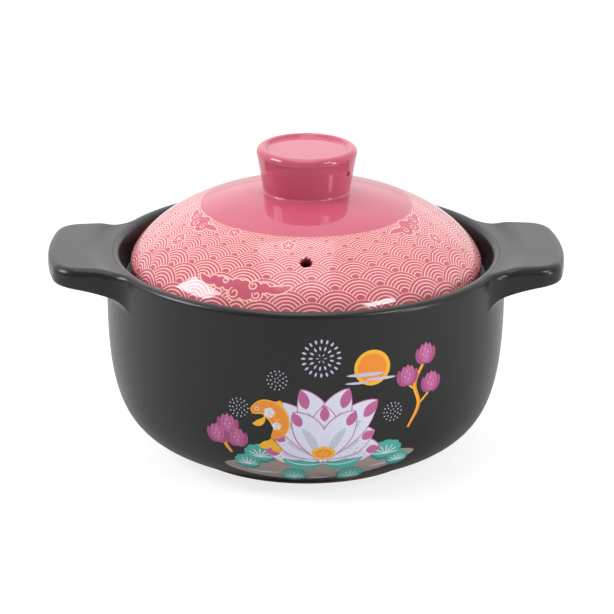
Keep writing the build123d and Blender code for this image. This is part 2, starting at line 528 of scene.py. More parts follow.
@dataclass(frozen=True)
class WaveGlaze(RoseGlaze):
    """The rose glaze printed with overlapping wave scales in cream, the traditional blue-sea-wave pattern.

    The piece's texture coordinate is in columns of scales: u counts them round the lid and v rises with the
    same scale, so that circles stay circles.
    """

    cream: str = "#F2C0B2"
    row_share: float = 0.25
    row_shift: float = 0.26
    ring_share: float = 0.151
    ring_width_share: float = 0.17
    heart_share: float = 0.17
    disc_at: float = 2.33
    foot_at: float = -0.02
    shift_share: float = 0.5

    def material(self, name: str = "wave_glaze") -> bpy.types.Material:
        """Builds the printed finish.

        Each scale is a circle half a column in radius, in rows a quarter of a column apart, every other
        row moved half a column. A point belongs to the lowest row whose circle reaches it, and is cream
        where its distance from that circle's edge is near a whole number of rings.

        Args:
            name: The material's name.

        Returns:
            The new material.
        """
        material, tree, shader, ground = self.glazed(name)
        uv = add_node(tree, "ShaderNodeTexCoord", output="UV")
        axes = add_node(tree, "ShaderNodeSeparateXYZ", {0: uv})
        known = work_out(
            tree,
            {"u": axes.outputs["X"], "v": axes.outputs["Y"]},
            [
                ("rows_up", "DIVIDE", "v", self.row_share),
                ("rows", "SUBTRACT", "rows_up", self.row_shift),
                ("row", "FLOOR", "rows"),
                ("part", "FRACT", "rows"),
                ("rise", "MULTIPLY", "part", self.row_share),
                ("half_row", "MULTIPLY", "row", 0.5),
                ("odd", "FRACT", "half_row"),
                ("shifted", "SUBTRACT", "u", "odd"),
                ("centred", "ADD", "shifted", 0.5 + self.shift_share),
                ("wrapped", "FRACT", "centred"),
                ("aside", "SUBTRACT", "wrapped", 0.5),
                ("near", "ABSOLUTE", "aside"),
                ("far", "SUBTRACT", 0.5, "near"),
                ("near2", "MULTIPLY", "near", "near"),
                ("far2", "MULTIPLY", "far", "far"),
                ("rise_low", "ADD", "rise", self.row_share),
                ("rise_high", "SUBTRACT", "rise", self.row_share),
                ("low2", "MULTIPLY_ADD", "rise_low", "rise_low", "far2"),
                ("mid2", "MULTIPLY_ADD", "rise", "rise", "near2"),
                ("high2", "MULTIPLY_ADD", "rise_high", "rise_high", "far2"),
                ("low", "SQRT", "low2"),
                ("mid", "SQRT", "mid2"),
                ("high", "SQRT", "high2"),
                ("in_low", "LESS_THAN", "low", 0.5),
                ("in_mid", "LESS_THAN", "mid", 0.5),
                ("mid_less", "SUBTRACT", "mid", "high"),
                ("upper", "MULTIPLY_ADD", "in_mid", "mid_less", "high"),
                ("low_less", "SUBTRACT", "low", "upper"),
                ("reach", "MULTIPLY_ADD", "in_low", "low_less", "upper"),
                ("share", "MULTIPLY", "reach", 2.0),
                ("inward", "SUBTRACT", 1.0, "share"),
                ("ring", "DIVIDE", "inward", self.ring_share),
                ("ring_moved", "ADD", "ring", 0.5),
                ("ring_part", "FRACT", "ring_moved"),
                ("ring_aside", "SUBTRACT", "ring_part", 0.5),
                ("ring_off", "ABSOLUTE", "ring_aside"),
                ("on_ring", "LESS_THAN", "ring_off", self.ring_width_share),
                ("off_heart", "GREATER_THAN", "share", self.heart_share),
                ("under_disc", "LESS_THAN", "v", self.disc_at),
                ("over_foot", "GREATER_THAN", "v", self.foot_at),
                ("line", "MULTIPLY", "on_ring", "off_heart"),
                ("line_below", "MULTIPLY", "line", "under_disc"),
                ("cream", "MULTIPLY", "line_below", "over_foot"),
            ],
        )
        colours = {"Factor": known["cream"], 6: ground, 7: linear(self.cream)}
        colour = add_node(tree, "ShaderNodeMix", colours, 2, data_type="RGBA")
        tree.links.new(colour, shader.inputs["Base Color"])
        return material


@dataclass(frozen=True)
class Transfer:
    """A ceramic transfer, printed and fired on: flat colour with a trace of screen grain and a low gloss."""

    name: str
    colour: str
    shade: str
    roughness: float = 0.42
    ior: float = 1.5
    grain_mm: float = 1.2

    def material(self) -> bpy.types.Material:
        """Builds the finish, mottled between its colour and its shade at the screen's grain.

        Returns:
            The new material.
        """
        values = {"Roughness": self.roughness, "IOR": self.ior}
        material, tree, shader = new_material(self.name, values)
        colour = mottle(tree, self.colour, self.shade, 1 / (self.grain_mm * MILLIMETRE), 2.0)[0]
        tree.links.new(colour, shader.inputs["Base Color"])
        return material


@dataclass
class ClayPot:
    """The body with its foot, wall, ledge and rolled rim, and the two lugs that grow out of the rim."""

    body_radius: float = 103.0
    rim_height: float = 105.6
    rim_flat_radius: float = 99.9
    joint_radius: float = 99.97
    rim_roll: float = 2.9
    lug_roll: float = 4.0
    tip_radius: float = 133.3
    lug_half_width: float = 41.0
    lug_taper: float = 7.0
    corner_radius: float = 14.0
    flare_radius: float = 17.0
    lug_rise: float = 1.6
    lug_rise_run: float = 12.0
    under_tip_depth: float = 8.4
    under_root_depth: float = 13.9
    under_root_run: float = 3.5
    under_run: float = 35.3
    cove_radius: float = 6.5
    under_edge_blur: float = 1.5
    top_rows: int = 16
    roll_rows: int = 9
    side_rows: int = 52
    row_step: float = 5.0
    pole_radius: float = 0.6
    floor_height: float = 9.0
    bowl: tuple = ((46.0, 9.0), (88.0, 9.0), (95.5, 39.9), (95.5, 77.9))
    ledge: tuple = ((95.5, 77.9), (85.5, 86.9), (85.5, 91.4), (93.5, 91.4))
    mouth_radius: float = 97.2
    ledge_rounds: tuple = (2.0, 1.2, 0.9, 3.4)
    belly_curve: tuple = ((64.5, 2.5), (93.9, 10.6), (103.0, 26.2), (103.0, 84.0))
    foot: tuple = ((64.5, 2.5), (64.5, 0.0), (56.5, 0.0), (56.5, 1.6), (0.6, 1.6))
    foot_rounds: tuple = (0.8, 0.5, 0.5)
    roll_blend: float = 8.0
    top_pull: float = 0.35
    under_pull: float = 0.4
    blur_passes: int = 60
    joint_row: int = field(init=False, default=0)
    wall_row: int = field(init=False, default=0)

    def outline(self) -> tuple:
        """The plan of the outer edge, anticlockwise from -Y.

        A quarter of it is the tip's arc about the pot's axis, the corner's arc, the tapered side, the hollow
        flare and the wall's arc, each tangent to the next, and it is mirrored into the other quarters.

        Returns:
            Points, outward normals, each point's azimuth on the wall, and whether it is on a lug.
        """
        taper = math.radians(self.lug_taper)
        out = np.array([math.sin(taper), math.cos(taper)])
        along = np.array([math.cos(taper), -math.sin(taper)])
        side = float(out @ np.array([self.body_radius, self.lug_half_width]))
        depth = side - self.corner_radius
        reach = self.tip_radius - self.corner_radius
        corner = depth * out + math.sqrt(reach**2 - depth**2) * along
        height = side + self.flare_radius
        spread_to = self.body_radius + self.flare_radius
        flare = height * out + math.sqrt(spread_to**2 - height**2) * along
        corner_at = math.degrees(math.atan2(corner[1], corner[0]))
        flare_at = math.degrees(math.atan2(flare[1], flare[0]))
        side_at = 90.0 - self.lug_taper
        line = corner + self.corner_radius * out
        line_end = flare - self.flare_radius * out
        share = np.linspace(0.0, 1.0, 9)[1:, None]
        parts = [
            arc((0, 0), self.tip_radius, 0.0, corner_at, 10),
            arc(corner, self.corner_radius, corner_at, side_at, 15)[1:],
            line + (line_end - line) * share,
            arc(flare, self.flare_radius, side_at + 180.0, flare_at + 180.0, 21)[1:],
            arc((0, 0), self.body_radius, flare_at, 90.0, 41)[1:],
        ]
        facing = [
            parts[0] / self.tip_radius,
            (parts[1] - corner) / self.corner_radius,
            np.repeat(out[None], len(parts[2]), axis=0),
            (flare - parts[3]) / self.flare_radius,
            parts[4] / self.body_radius,
        ]
        points = np.concatenate(parts)
        normals = np.concatenate(facing)
        on_lug = len(points) - len(parts[4])
        run = np.concatenate([[0.0], np.cumsum(np.linalg.norm(np.diff(points, axis=0), axis=1))])
        azimuth = np.degrees(np.arctan2(points[:, 1], points[:, 0]))
        azimuth[:on_lug] = flare_at * run[:on_lug] / run[on_lug - 1]
        lug = np.arange(len(points)) < on_lug

        def loop(quarter: Array, mirror_x: Array, mirror_y: Array) -> Array:
            """All four quarters of a list of values, from those of the first."""
            half = np.concatenate([mirror_y(quarter[:0:-1]), quarter])
            return np.concatenate([half[:-1], mirror_x(half[:0:-1])])

        flip_x = np.array([-1.0, 1.0])
        flip_y = np.array([1.0, -1.0])
        return (
            loop(points, lambda p: p * flip_x, lambda p: p * flip_y),
            loop(normals, lambda p: p * flip_x, lambda p: p * flip_y),
            loop(azimuth, lambda a: 180.0 - a, lambda a: -a),
            loop(lug, lambda b: b, lambda b: b),
        )

    def top_sweep(self, radius: Array) -> tuple:
        """Height and slope of the lugs' top, which sweeps up from the rim to a level just above it.

        The sweep is a cubic Bezier with level ends: at its parameter t the run is 1.5 t - 1.5 t^2 + t^3
        of the whole, and the rise is 3 t^2 - 2 t^3 of the whole.

        Args:
            radius: Distances from the pot's axis.

        Returns:
            Heights and slopes at these distances.
        """
        t = np.linspace(0.0, 1.0, 200)
        run = self.body_radius + self.lug_rise_run * (1.5 * t - 1.5 * t**2 + t**3)
        rise = self.lug_rise * (3 * t**2 - 2 * t**3)
        slope = 2 * self.lug_rise * t * (1 - t) / (self.lug_rise_run * (0.5 - t + t**2))
        return self.rim_height + np.interp(radius, run, rise), np.interp(radius, run, slope)

    def under_height(self, radius: Array) -> Array:
        """Height of the lugs' underside: an arc that sinks inward, then a cove tangent to the wall.

        Args:
            radius: Distances from the pot's axis.

        Returns:
            Heights at these distances.
        """
        run = self.under_run - self.under_root_run
        drop = self.under_root_depth - self.under_tip_depth
        bend = (run**2 + drop**2) / (2 * drop)
        tip = self.body_radius + self.under_run
        middle = self.rim_height - self.under_tip_depth - bend
        reach = bend - self.cove_radius
        cove_x = self.body_radius + self.cove_radius
        cove_z = middle + math.sqrt(reach**2 - (tip - cove_x) ** 2)
        meet = tip - (tip - cove_x) * bend / reach
        arch = middle + np.sqrt(np.clip(bend**2 - (tip - radius) ** 2, 0.0, None))
        hollow = cove_z + np.sqrt(np.clip(self.cove_radius**2 - (cove_x - radius) ** 2, 0.0, None))
        return np.where(radius > meet, arch, hollow)

    def inside(self) -> Array:
        """Radius and height of the inside, from the middle of the floor up to the flat of the rim.

        Returns:
            An array of shape (points, 2).
        """
        rim = ((self.mouth_radius, self.rim_height), (self.rim_flat_radius, self.rim_height))
        ledge = rounded(self.ledge + rim, self.ledge_rounds)
        floor = np.array([(self.pole_radius, self.floor_height), (24.0, self.floor_height)])
        return spread(np.concatenate([floor, bezier(self.bowl, 30), ledge[1:]]), self.row_step)

    def outside(self, top: float) -> Array:
        """Radius and height of the outside, from this height down the belly to the middle of the foot.

        Args:
            top: The height on the upright wall where it starts.

        Returns:
            An array of shape (points, 2), without the start itself.
        """
        foot = rounded(self.foot, self.foot_rounds, 4)
        line = np.concatenate([[(self.body_radius, top)], self.belly(), foot[1:]])
        return spread(line, self.row_step)[1:]

    def belly(self) -> Array:
        """Radius and height of the belly, from the upright wall down to the foot."""
        return bezier(self.belly_curve, 40)[::-1]

    def surface(self) -> tuple:
        """The whole skin of body and lugs as one grid: a row for each ring, a column for each azimuth.

        Each column runs from the floor's middle up the inside, over the flat of the rim to the outline,
        round a quarter circle to the side, down to the underside, back to the wall and down to the foot.
        The edge between side and underside is rounded by spreading each point into its neighbours.

        Returns:
            Points of shape (rows, columns, 3) and whether each column is on a lug.
        """
        edge, normal, azimuth, lug = self.outline()
        angle = np.radians(azimuth)
        ray = np.stack([np.cos(angle), np.sin(angle)], -1)

        bowl = swept(self.inside(), ray)

        reach = np.linalg.norm(edge, axis=1)
        off_wall = np.clip((reach - self.body_radius) / self.roll_blend, 0.0, 1.0)
        roll = self.rim_roll + (self.lug_roll - self.rim_roll) * off_wall
        rolled = edge - roll[:, None] * normal
        radius = np.linalg.norm(rolled, axis=1)
        slope = np.arctan(self.top_sweep(radius)[1] * (normal * rolled).sum(axis=1) / radius)
        start = edge - normal * (roll * (1 + np.sin(slope)))[:, None]
        centre = self.top_sweep(np.linalg.norm(start, axis=1))[0] - roll * np.cos(slope)
        joint = self.joint_radius * ray
        pull = self.top_pull * np.linalg.norm(start - joint, axis=1, keepdims=True)
        plan = bezier([joint, joint + pull * ray, start - pull * normal, start], self.top_rows + 1)
        height = self.top_sweep(np.linalg.norm(plan, axis=2))[0]
        top = np.concatenate([plan, height[..., None]], axis=2)

        turn = np.linspace(0.0, 1.0, self.roll_rows + 1)[1:, None] * (np.pi / 2 + slope) - slope
        plan = edge - normal * (roll * (1 - np.sin(turn)))[..., None]
        corner = np.concatenate([plan, (centre + roll * np.cos(turn))[..., None]], axis=2)

        share = np.linspace(0.0, 1.0, 60)[:, None]
        fall = centre + (self.under_height(reach) - centre) * share
        side = np.concatenate([np.repeat(edge[None], 60, axis=0), fall[..., None]], axis=2)
        wall = self.body_radius * ray
        pull = self.under_pull * np.linalg.norm(edge - wall, axis=1, keepdims=True)
        plan = bezier([edge, edge - pull * normal, wall + pull * ray, wall], 90)
        height = self.under_height(np.linalg.norm(plan, axis=2))
        under = np.concatenate([plan, height[..., None]], axis=2)
        lines = evenly(np.concatenate([side, under[1:]]).transpose(1, 0, 2), 150)
        step = np.linalg.norm(lines[:, 1] - lines[:, 0], axis=1)[:, None, None]
        spread_wanted = (self.under_edge_blur / np.maximum(step, 1e-6)) ** 2
        weight = np.minimum(0.25, spread_wanted / (2 * self.blur_passes))
        for _ in range(self.blur_passes):
            lines[:, 1:-1] += weight * (lines[:, 2:] - 2 * lines[:, 1:-1] + lines[:, :-2])
        hook = evenly(lines, self.side_rows + 1)[:, 1:].transpose(1, 0, 2)

        belly = swept(self.outside(float(hook[-1, 0, 2])), ray)
        self.joint_row = len(bowl)
        self.wall_row = len(bowl) + len(top) + len(corner) + len(hook) - 1
        return np.concatenate([bowl, top, corner, hook, belly]), lug

    def build(self, material: bpy.types.Material) -> list:
        """Cuts the skin at the lugs' joints and makes the body and both lugs.

        The lugs take the skin between the joint's row on the rim and the cove's foot on the wall. Both
        sides of each joint are closed by the rim and wall of a column without a lug, turned to each column.

        Args:
            material: The glaze.

        Returns:
            The three pieces.
        """
        grid, lug = self.surface()
        rows, columns = grid.shape[:2]
        points = grid.reshape(-1, 3)
        quads = grid_quads(rows, columns, closed=True)
        normals = corner_normals(points, quads.reshape(-1, 4))
        on_lug = lug & np.roll(lug, -1)
        in_band = np.zeros(rows - 1, bool)
        in_band[self.joint_row:self.wall_row] = True
        cut = in_band[:, None] & on_lug[None, :]

        ends = np.stack([points[:columns].mean(axis=0), points[-columns:].mean(axis=0)])
        ring = np.arange(columns)
        floor = pole_fan(ring, len(points))
        foot = pole_fan(ring[::-1] + (rows - 1) * columns, len(points) + 1)
        body_quads = [quads[~cut], floor, foot]
        body_points = [points, ends]
        body_normals = [normals, np.array([(0.0, 0.0, 1.0), (0.0, 0.0, -1.0)])]
        band = np.arange(self.joint_row, self.wall_row + 1)
        plain = grid[band, 0]
        flat = np.stack([np.linalg.norm(plain[:, :2], axis=1), plain[:, 2]], -1)
        pieces = []
        total = len(points) + 2
        for name, node, sign in (("right_lug", "right_handle", 1.0), ("left_lug", "left_handle", -1.0)):
            there = np.flatnonzero(lug & (grid[0, :, 0] * sign > 0))
            cap = swept(flat, unit(grid[0, there, :2]))
            skin = grid[np.ix_(band, there)]
            cap[0] = skin[0]
            cap[-1] = skin[-1]
            cap[:, 0] = skin[:, 0]
            cap[:, -1] = skin[:, -1]
            faces = grid_quads(len(band), len(there)).reshape(-1, 4)
            count = len(band) * len(there)
            own = (band[:, None] * columns + there).ravel()
            facing = corner_normals(cap.reshape(-1, 3), faces)
            body_points.append(cap.reshape(-1, 3))
            body_normals.append(facing)
            body_quads.append(faces + total)
            total += count
            both = np.concatenate([skin.reshape(-1, 3), cap.reshape(-1, 3)])
            turned = np.concatenate([normals[own], -facing])
            piece = make_piece(
                name,
                both,
                np.concatenate([faces, faces[:, ::-1] + count]),
                material,
                Body.POT,
                normals=turned,
            )
            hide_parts(node)
            pieces.append(piece)
        body = make_piece(
            "thrown_body",
            np.concatenate(body_points),
            np.concatenate([q.reshape(-1, 4) for q in body_quads]),
            material,
            Body.POT,
            normals=np.concatenate(body_normals),
        )
        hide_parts("pot_body")
        return [body] + pieces

    def on_wall(self, flat: Array, lift: float) -> Array:
        """Lays a flat drawing on the wall: across becomes arc length about the axis, and up becomes height.

        Args:
            flat: Points in millimetres, across from the middle of the front and up from the table.
            lift: How far the points stand off the glaze.

        Returns:
            Points in space.
        """
        belly = self.belly()[::-1]
        radius = np.interp(flat[..., 1], belly[:, 1], belly[:, 0]) + lift
        angle = flat[..., 0] / self.body_radius - np.pi / 2 - math.radians(PHOTO_TURN)
        return about_axis(radius, angle, flat[..., 1])


@dataclass
class PiercedShell:
    """A closed shell of revolution with one round hole through its wall.

    The profile runs from the axis along the outside, round the edge and back to the axis inside. On each
    side of the wall a block of the grid's faces makes way for rings that pass from the block's outline to a
    circle. The outer circle rolls over a glazed lip, and a tube joins it to the inner one.
    """

    profile: Array
    edge_row: int
    azimuth: float
    point: tuple
    direction: tuple
    hole_radius: float
    lip_radius: float
    half_block: int = 4
    columns: int = 240
    rings: int = 9
    lip_rows: int = 6
    throat_step: float = 0.05

    def place(self, row: Array, column: Array) -> Array:
        """Points of the skin at any rows and columns. Columns run anticlockwise from +Y.

        Args:
            row: Rows, which needn't be whole.
            column: Columns, which needn't be whole.

        Returns:
            Points in space.
        """
        own = np.arange(len(self.profile))
        radius = np.interp(row, own, self.profile[:, 0])
        height = np.interp(row, own, self.profile[:, 1])
        angle = np.pi / 2 + 2 * np.pi * np.asarray(column, float) / self.columns
        return about_axis(radius, angle, height)

    def crossing(self, low: int, high: int) -> float:
        """The row between two rows at which the hole's axis crosses the profile.

        Args:
            low: The first row that counts.
            high: The row after the last.

        Returns:
            A row that needn't be whole.
        """
        away = self.profile[low:high] - np.asarray(self.point)
        side = away[:, 0] * self.direction[1] - away[:, 1] * self.direction[0]
        change = np.flatnonzero(np.sign(side[1:]) != np.sign(side[:-1]))
        reach = np.linalg.norm(away[change], axis=1)
        first = change[int(np.argmin(reach))]
        return low + first + side[first] / (side[first] - side[first + 1])

    def approach(self, row: float, column: float, radius: float, mirrored: bool) -> Array:
        """Rows and columns of the rings from a block's outline to a circle about the hole.

        Args:
            row: The hole's row.
            column: The hole's column.
            radius: The circle's radius.
            mirrored: Whether the loop runs the other way, as it does inside.

        Returns:
            An array of shape (rings + 1, points, 2), whose first ring is the block's outline.
        """
        half = self.half_block
        j0, j1 = int(round(row)) - half, int(round(row)) + half
        k0, k1 = int(round(column)) - half, int(round(column)) + half
        if mirrored:
            j0, j1 = j1, j0
        down = np.linspace(j0, j1, 2 * half + 1)
        across = np.linspace(k0, k1, 2 * half + 1)
        loop = np.concatenate(
            [
                np.stack([np.full(2 * half, j0), across[:-1]], -1),
                np.stack([down[:-1], np.full(2 * half, k1)], -1),
                np.stack([np.full(2 * half, j1), across[:0:-1]], -1),
                np.stack([down[:0:-1], np.full(2 * half, k0)], -1),
            ]
        )
        middle = self.place(np.array(row), np.array(column))
        step = np.array(
            [
                np.linalg.norm(self.place(np.array(row + 0.5), np.array(column)) - middle) * 2,
                np.linalg.norm(self.place(np.array(row), np.array(column + 0.5)) - middle) * 2,
            ]
        )
        offset = (loop - (row, column)) * step
        circle = unit(offset) * radius
        share = np.linspace(0.0, 1.0, self.rings + 1)[:, None, None]
        return (offset + (circle - offset) * share) / step + (row, column)

    def build(self) -> tuple:
        """Works out the shell.

        Returns:
            Points, faces, and the row and column of each corner of each face.
        """
        rows = len(self.profile)
        grid = np.stack(np.meshgrid(np.arange(rows), np.arange(self.columns), indexing="ij"), -1)
        points = self.place(grid[..., 0], grid[..., 1]).reshape(-1, 3)
        quads = grid_quads(rows, self.columns, closed=True)
        corners = grid[:-1, :, None] + np.array([(0, 0), (1, 0), (1, 1), (0, 1)])
        column = (math.radians(self.azimuth) - math.pi / 2) % (2 * math.pi) * self.columns / (2 * math.pi)
        outside = self.crossing(2, self.edge_row)
        inside = self.crossing(self.edge_row, rows - 2)
        down = self.approach(outside, column, self.hole_radius + self.lip_radius, False)
        up = self.approach(inside, column, self.hole_radius, True)[::-1]
        keep = np.ones(quads.shape[:2], bool)
        for loop in (down[0], up[-1]):
            low = loop.min(axis=0).astype(int)
            high = loop.max(axis=0).astype(int)
            keep[low[0]:high[0], low[1]:high[1]] = False

        heading = math.radians(self.azimuth)
        axis = about_axis(self.direction[0], heading, self.direction[1])
        ring = self.place(down[-1, :, 0], down[-1, :, 1])
        spoke = ring - ring.mean(axis=0)
        spoke = unit(spoke - (spoke @ axis)[:, None] * axis)
        turn = np.linspace(0.0, np.pi / 2, self.lip_rows + 1)[1:, None, None]
        lip = ring - spoke * self.lip_radius * np.sin(turn) + axis * self.lip_radius * (1 - np.cos(turn))
        outer_rings = self.place(down[1:, :, 0], down[1:, :, 1])
        inner_rings = self.place(up[:-1, :, 0], up[:-1, :, 1])
        throat = lip[-1:] + axis * self.throat_step
        new = np.concatenate([outer_rings, lip, throat, inner_rings])
        loops = np.stack([down[0], up[-1]]).astype(int)
        own = loops[..., 0] * self.columns + loops[..., 1] % self.columns
        fresh = len(points) + np.arange(new.shape[0] * new.shape[1]).reshape(new.shape[:2])
        numbers = np.concatenate([own[:1], fresh, own[1:]])
        places = np.concatenate([down, np.repeat(down[-1:], len(lip), axis=0), up[:1], up])
        beside = np.roll(numbers, -1, axis=1)
        tube = np.stack([numbers[:-1], numbers[1:], beside[1:], beside[:-1]], -1)
        moved = np.roll(places, -1, axis=1)
        tube_corners = np.stack([places[:-1], places[1:], moved[1:], moved[:-1]], axis=2)

        poles = np.array([(0.0, 0.0, self.profile[0, 1]), (0.0, 0.0, self.profile[-1, 1])])
        total = len(points) + fresh.size
        first = np.arange(self.columns)
        fans = [pole_fan(first, total), pole_fan(first[::-1] + (rows - 1) * self.columns, total + 1)]
        fan_corners = np.zeros((self.columns, 4, 2))
        return (
            np.concatenate([points, new.reshape(-1, 3), poles]),
            np.concatenate([quads[keep], tube.reshape(-1, 4)] + fans),
            np.concatenate([corners[keep], tube_corners.reshape(-1, 4, 2), fan_corners]),
        )


@dataclass
class DomedLid:
    """The lid: a thrown dome with a bearing edge, a locating flange, a steam hole and printed scales."""

    edge_radius: float = 90.8
    edge_top: float = 99.3
    edge_pull: float = 107.5
    crown: float = 139.0
    crown_pull: float = 64.8
    seat: float = 91.4
    flange_radius: float = 84.0
    flange_bore: float = 79.5
    flange_foot: float = 86.4
    edge_rounds: tuple = (2.2, 0.2, 1.4, 1.4)
    edge_rows: int = 12
    ceiling: float = 132.5
    ceiling_pull: float = 66.0
    inner_pull: float = 105.4
    scale_columns: float = 22.0
    steam_hole_azimuth: float = -92.0
    steam_hole_row: int = 42
    steam_hole_radius: float = 3.0
    steam_hole_lip: float = 0.7

    def outer_curve(self) -> Array:
        """Radius and height of the dome's outer skin, from near the crown to the edge, in equal steps."""
        ends = [
            (0.0, self.crown),
            (self.crown_pull, self.crown),
            (self.edge_radius, self.edge_pull),
            (self.edge_radius, self.edge_top),
        ]
        return evenly(bezier(ends, 400)[None, 2:], 61)[0]

    def height_at(self, radius: Array) -> Array:
        """Height of the dome's outer skin at these radii."""
        curve = self.outer_curve()
        return np.interp(radius, curve[:, 0], curve[:, 1])

    def profile(self) -> tuple:
        """The profile, from the crown down the outside, round edge and flange and up the inside.

        Returns:
            The profile and its row at the foot of the flange.
        """
        outer = self.outer_curve()
        edge = [
            (self.edge_radius, self.edge_top),
            (self.edge_radius, self.seat),
            (self.flange_radius, self.seat),
            (self.flange_radius, self.flange_foot),
            (self.flange_bore, self.flange_foot),
            (self.flange_bore, self.seat),
        ]
        inner = [
            (self.flange_bore, self.seat),
            (self.flange_bore, self.inner_pull),
            (self.ceiling_pull, self.ceiling),
            (0.5, self.ceiling),
        ]
        under = spread(rounded(edge, self.edge_rounds), 2.5)[1:]
        dome = evenly(bezier(inner, 400)[None], 56)[0][1:]
        return np.concatenate([outer, under, dome]), len(outer) + self.edge_rows

    def scale_rise(self, line: Array) -> Array:
        """The pattern's v of each row: steps along the profile over their radius, summed.

        It counts columns of scales, from zero at the dome's edge up to the crown, so that scales keep
        their shape as they shrink.

        Args:
            line: Radius and height of each row, whose first rows are the outer curve.

        Returns:
            The v of each row.
        """
        middle = np.maximum((line[1:, 0] + line[:-1, 0]) / 2, 0.5)
        step = np.linalg.norm(np.diff(line, axis=0), axis=1) / middle
        run = np.concatenate([[0.0], np.cumsum(step)]) * self.scale_columns / (2 * np.pi)
        return run[len(self.outer_curve()) - 1] - run

    def on_dome(self, flat: Array, lift: float) -> Array:
        """Lays a flat drawing on the dome with its angles kept.

        Args:
            flat: Points in columns of scales, anticlockwise from the front's middle and up from the edge.
            lift: How far the points stand off the glaze.

        Returns:
            Points in space.
        """
        curve = self.outer_curve()
        rise = self.scale_rise(curve)
        slope = unit(np.gradient(curve, axis=0))
        raised = curve + lift * np.stack([-slope[:, 1], slope[:, 0]], -1)
        radius = np.interp(flat[..., 1], rise[::-1], raised[::-1, 0])
        height = np.interp(flat[..., 1], rise[::-1], raised[::-1, 1])
        angle = flat[..., 0] * 2 * np.pi / self.scale_columns - np.pi / 2 - math.radians(PHOTO_TURN)
        return about_axis(radius, angle, height)

    def build(self, material: bpy.types.Material) -> bpy.types.Object:
        """Makes the dome with its steam hole.

        Args:
            material: Its printed glaze.

        Returns:
            The dome.
        """
        line, edge_row = self.profile()
        fall = line[self.steam_hole_row + 1] - line[self.steam_hole_row - 1]
        shell = PiercedShell(
            line,
            edge_row,
            self.steam_hole_azimuth,
            tuple(line[self.steam_hole_row]),
            tuple(unit(np.array([fall[1], -fall[0]]))),
            self.steam_hole_radius,
            self.steam_hole_lip,
        )
        points, quads, corners = shell.build()
        uv = np.stack(
            [
                (corners[..., 1] / shell.columns - 0.5) * self.scale_columns,
                np.interp(corners[..., 0], np.arange(len(line)), self.scale_rise(line)),
            ],
            -1,
        )
        piece = make_piece("printed_dome", points, quads, material, Body.LID, uv=uv)
        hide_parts("lid_dome")
        return piece


@dataclass
class HollowKnob:
    """The knob: a flared hollow drum with a rolled lip, a dished top and a vent, luted on to the dome."""

    top: float = 160.6
    radius: float = 26.45
    foot_radius: float = 22.4
    wall: float = 5.0
    fillet: float = 1.0
    roll: float = 2.9
    top_thickness: float = 6.7
    dish_depth: float = 1.7
    dish_radius: float = 20.1
    dish_rim_radius: float = 21.8
    dish_round: float = 1.6
    seat_sink: float = 0.03
    vent_azimuth: float = -31.0
    vent_at: tuple = (25.0, 149.4)
    vent_radius: float = 1.3
    vent_lip: float = 0.45

    def build(self, lid: DomedLid, material: bpy.types.Material) -> bpy.types.Object:
        """Makes the knob, whose foot follows the dome.

        Args:
            lid: The lid that it stands on.
            material: Its glaze.

        Returns:
            The knob.
        """
        flare = (self.radius - self.foot_radius) / (self.top - lid.crown)
        outer_foot = self.foot_radius + self.fillet
        inner_foot = self.foot_radius - self.wall
        ceiling = self.top - self.top_thickness
        dish = self.top - self.dish_depth
        ceiling_radius = self.foot_radius + flare * (ceiling - lid.crown) - self.wall
        low = float(lid.height_at(np.array(outer_foot)))
        base = np.linspace(outer_foot, inner_foot, 9)
        seat = np.stack([base, lid.height_at(base) - self.seat_sink], -1)
        side = rounded(
            [
                (0.4, dish),
                (self.dish_radius, dish),
                (self.dish_rim_radius, self.top),
                (self.radius, self.top),
                (self.foot_radius, low + 0.25),
                (outer_foot + 1.0, low),
            ],
            [self.dish_round, self.dish_round, self.roll, self.fillet],
            9,
        )[:-1]
        hollow = rounded(
            [(inner_foot, seat[-1, 1]), (ceiling_radius, ceiling), (0.4, ceiling)], [self.roll]
        )
        outside = spread(np.concatenate([side, seat[:1]]), 0.7)
        line = np.concatenate([outside, seat[1:], spread(hollow, 0.9)[1:]])
        shell = PiercedShell(
            line,
            len(outside) + 4,
            self.vent_azimuth,
            self.vent_at,
            (-1.0, 0.0),
            self.vent_radius,
            self.vent_lip,
        )
        points, quads, _ = shell.build()
        piece = make_piece("hollow_knob", points, quads, material, Body.LID)
        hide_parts("lid_knob")
        return piece


def smooth_line(points: Sequence[tuple], count: int) -> Array:
    """A Catmull-Rom curve through points: each span is a cubic that takes its neighbours' slopes.

    Args:
        points: The points that it passes.
        count: Points to return.

    Returns:
        An array of shape (count, 2).
    """
    knots = np.asarray(points, float)
    knots = np.concatenate([2 * knots[:1] - knots[1:2], knots, 2 * knots[-1:] - knots[-2:-1]])
    at = np.linspace(0.0, len(points) - 1 - 1e-9, count)
    span = at.astype(int)
    t = (at - span)[:, None]
    a, b, c, d = (knots[span + k] for k in range(4))
    return 0.5 * (2 * b + (c - a) * t + (2 * a - 5 * b + 4 * c - d) * t**2 + (3 * b - a - 3 * c + d) * t**3)


def curl(centre: tuple, start: float, turn: float, outer: float, inner: float, count: int = 40) -> Array:
    """A spiral: the radius shrinks evenly from outer to inner while the angle runs through the turn.

    Args:
        centre: The spiral's middle.
        start: Angle of its outer end, in degrees.
        turn: How far it winds, in degrees, anticlockwise if positive.
        outer: Radius of its outer end.
        inner: Radius of its inner end.
        count: Points to return.

    Returns:
        An array of shape (count, 2), from the outer end to the inner one.
    """
    share = np.linspace(0.0, 1.0, count)[:, None]
    angle = np.radians(start + turn * share)
    radius = outer + (inner - outer) * share
    return np.asarray(centre) + radius * np.concatenate([np.cos(angle), np.sin(angle)], axis=1)


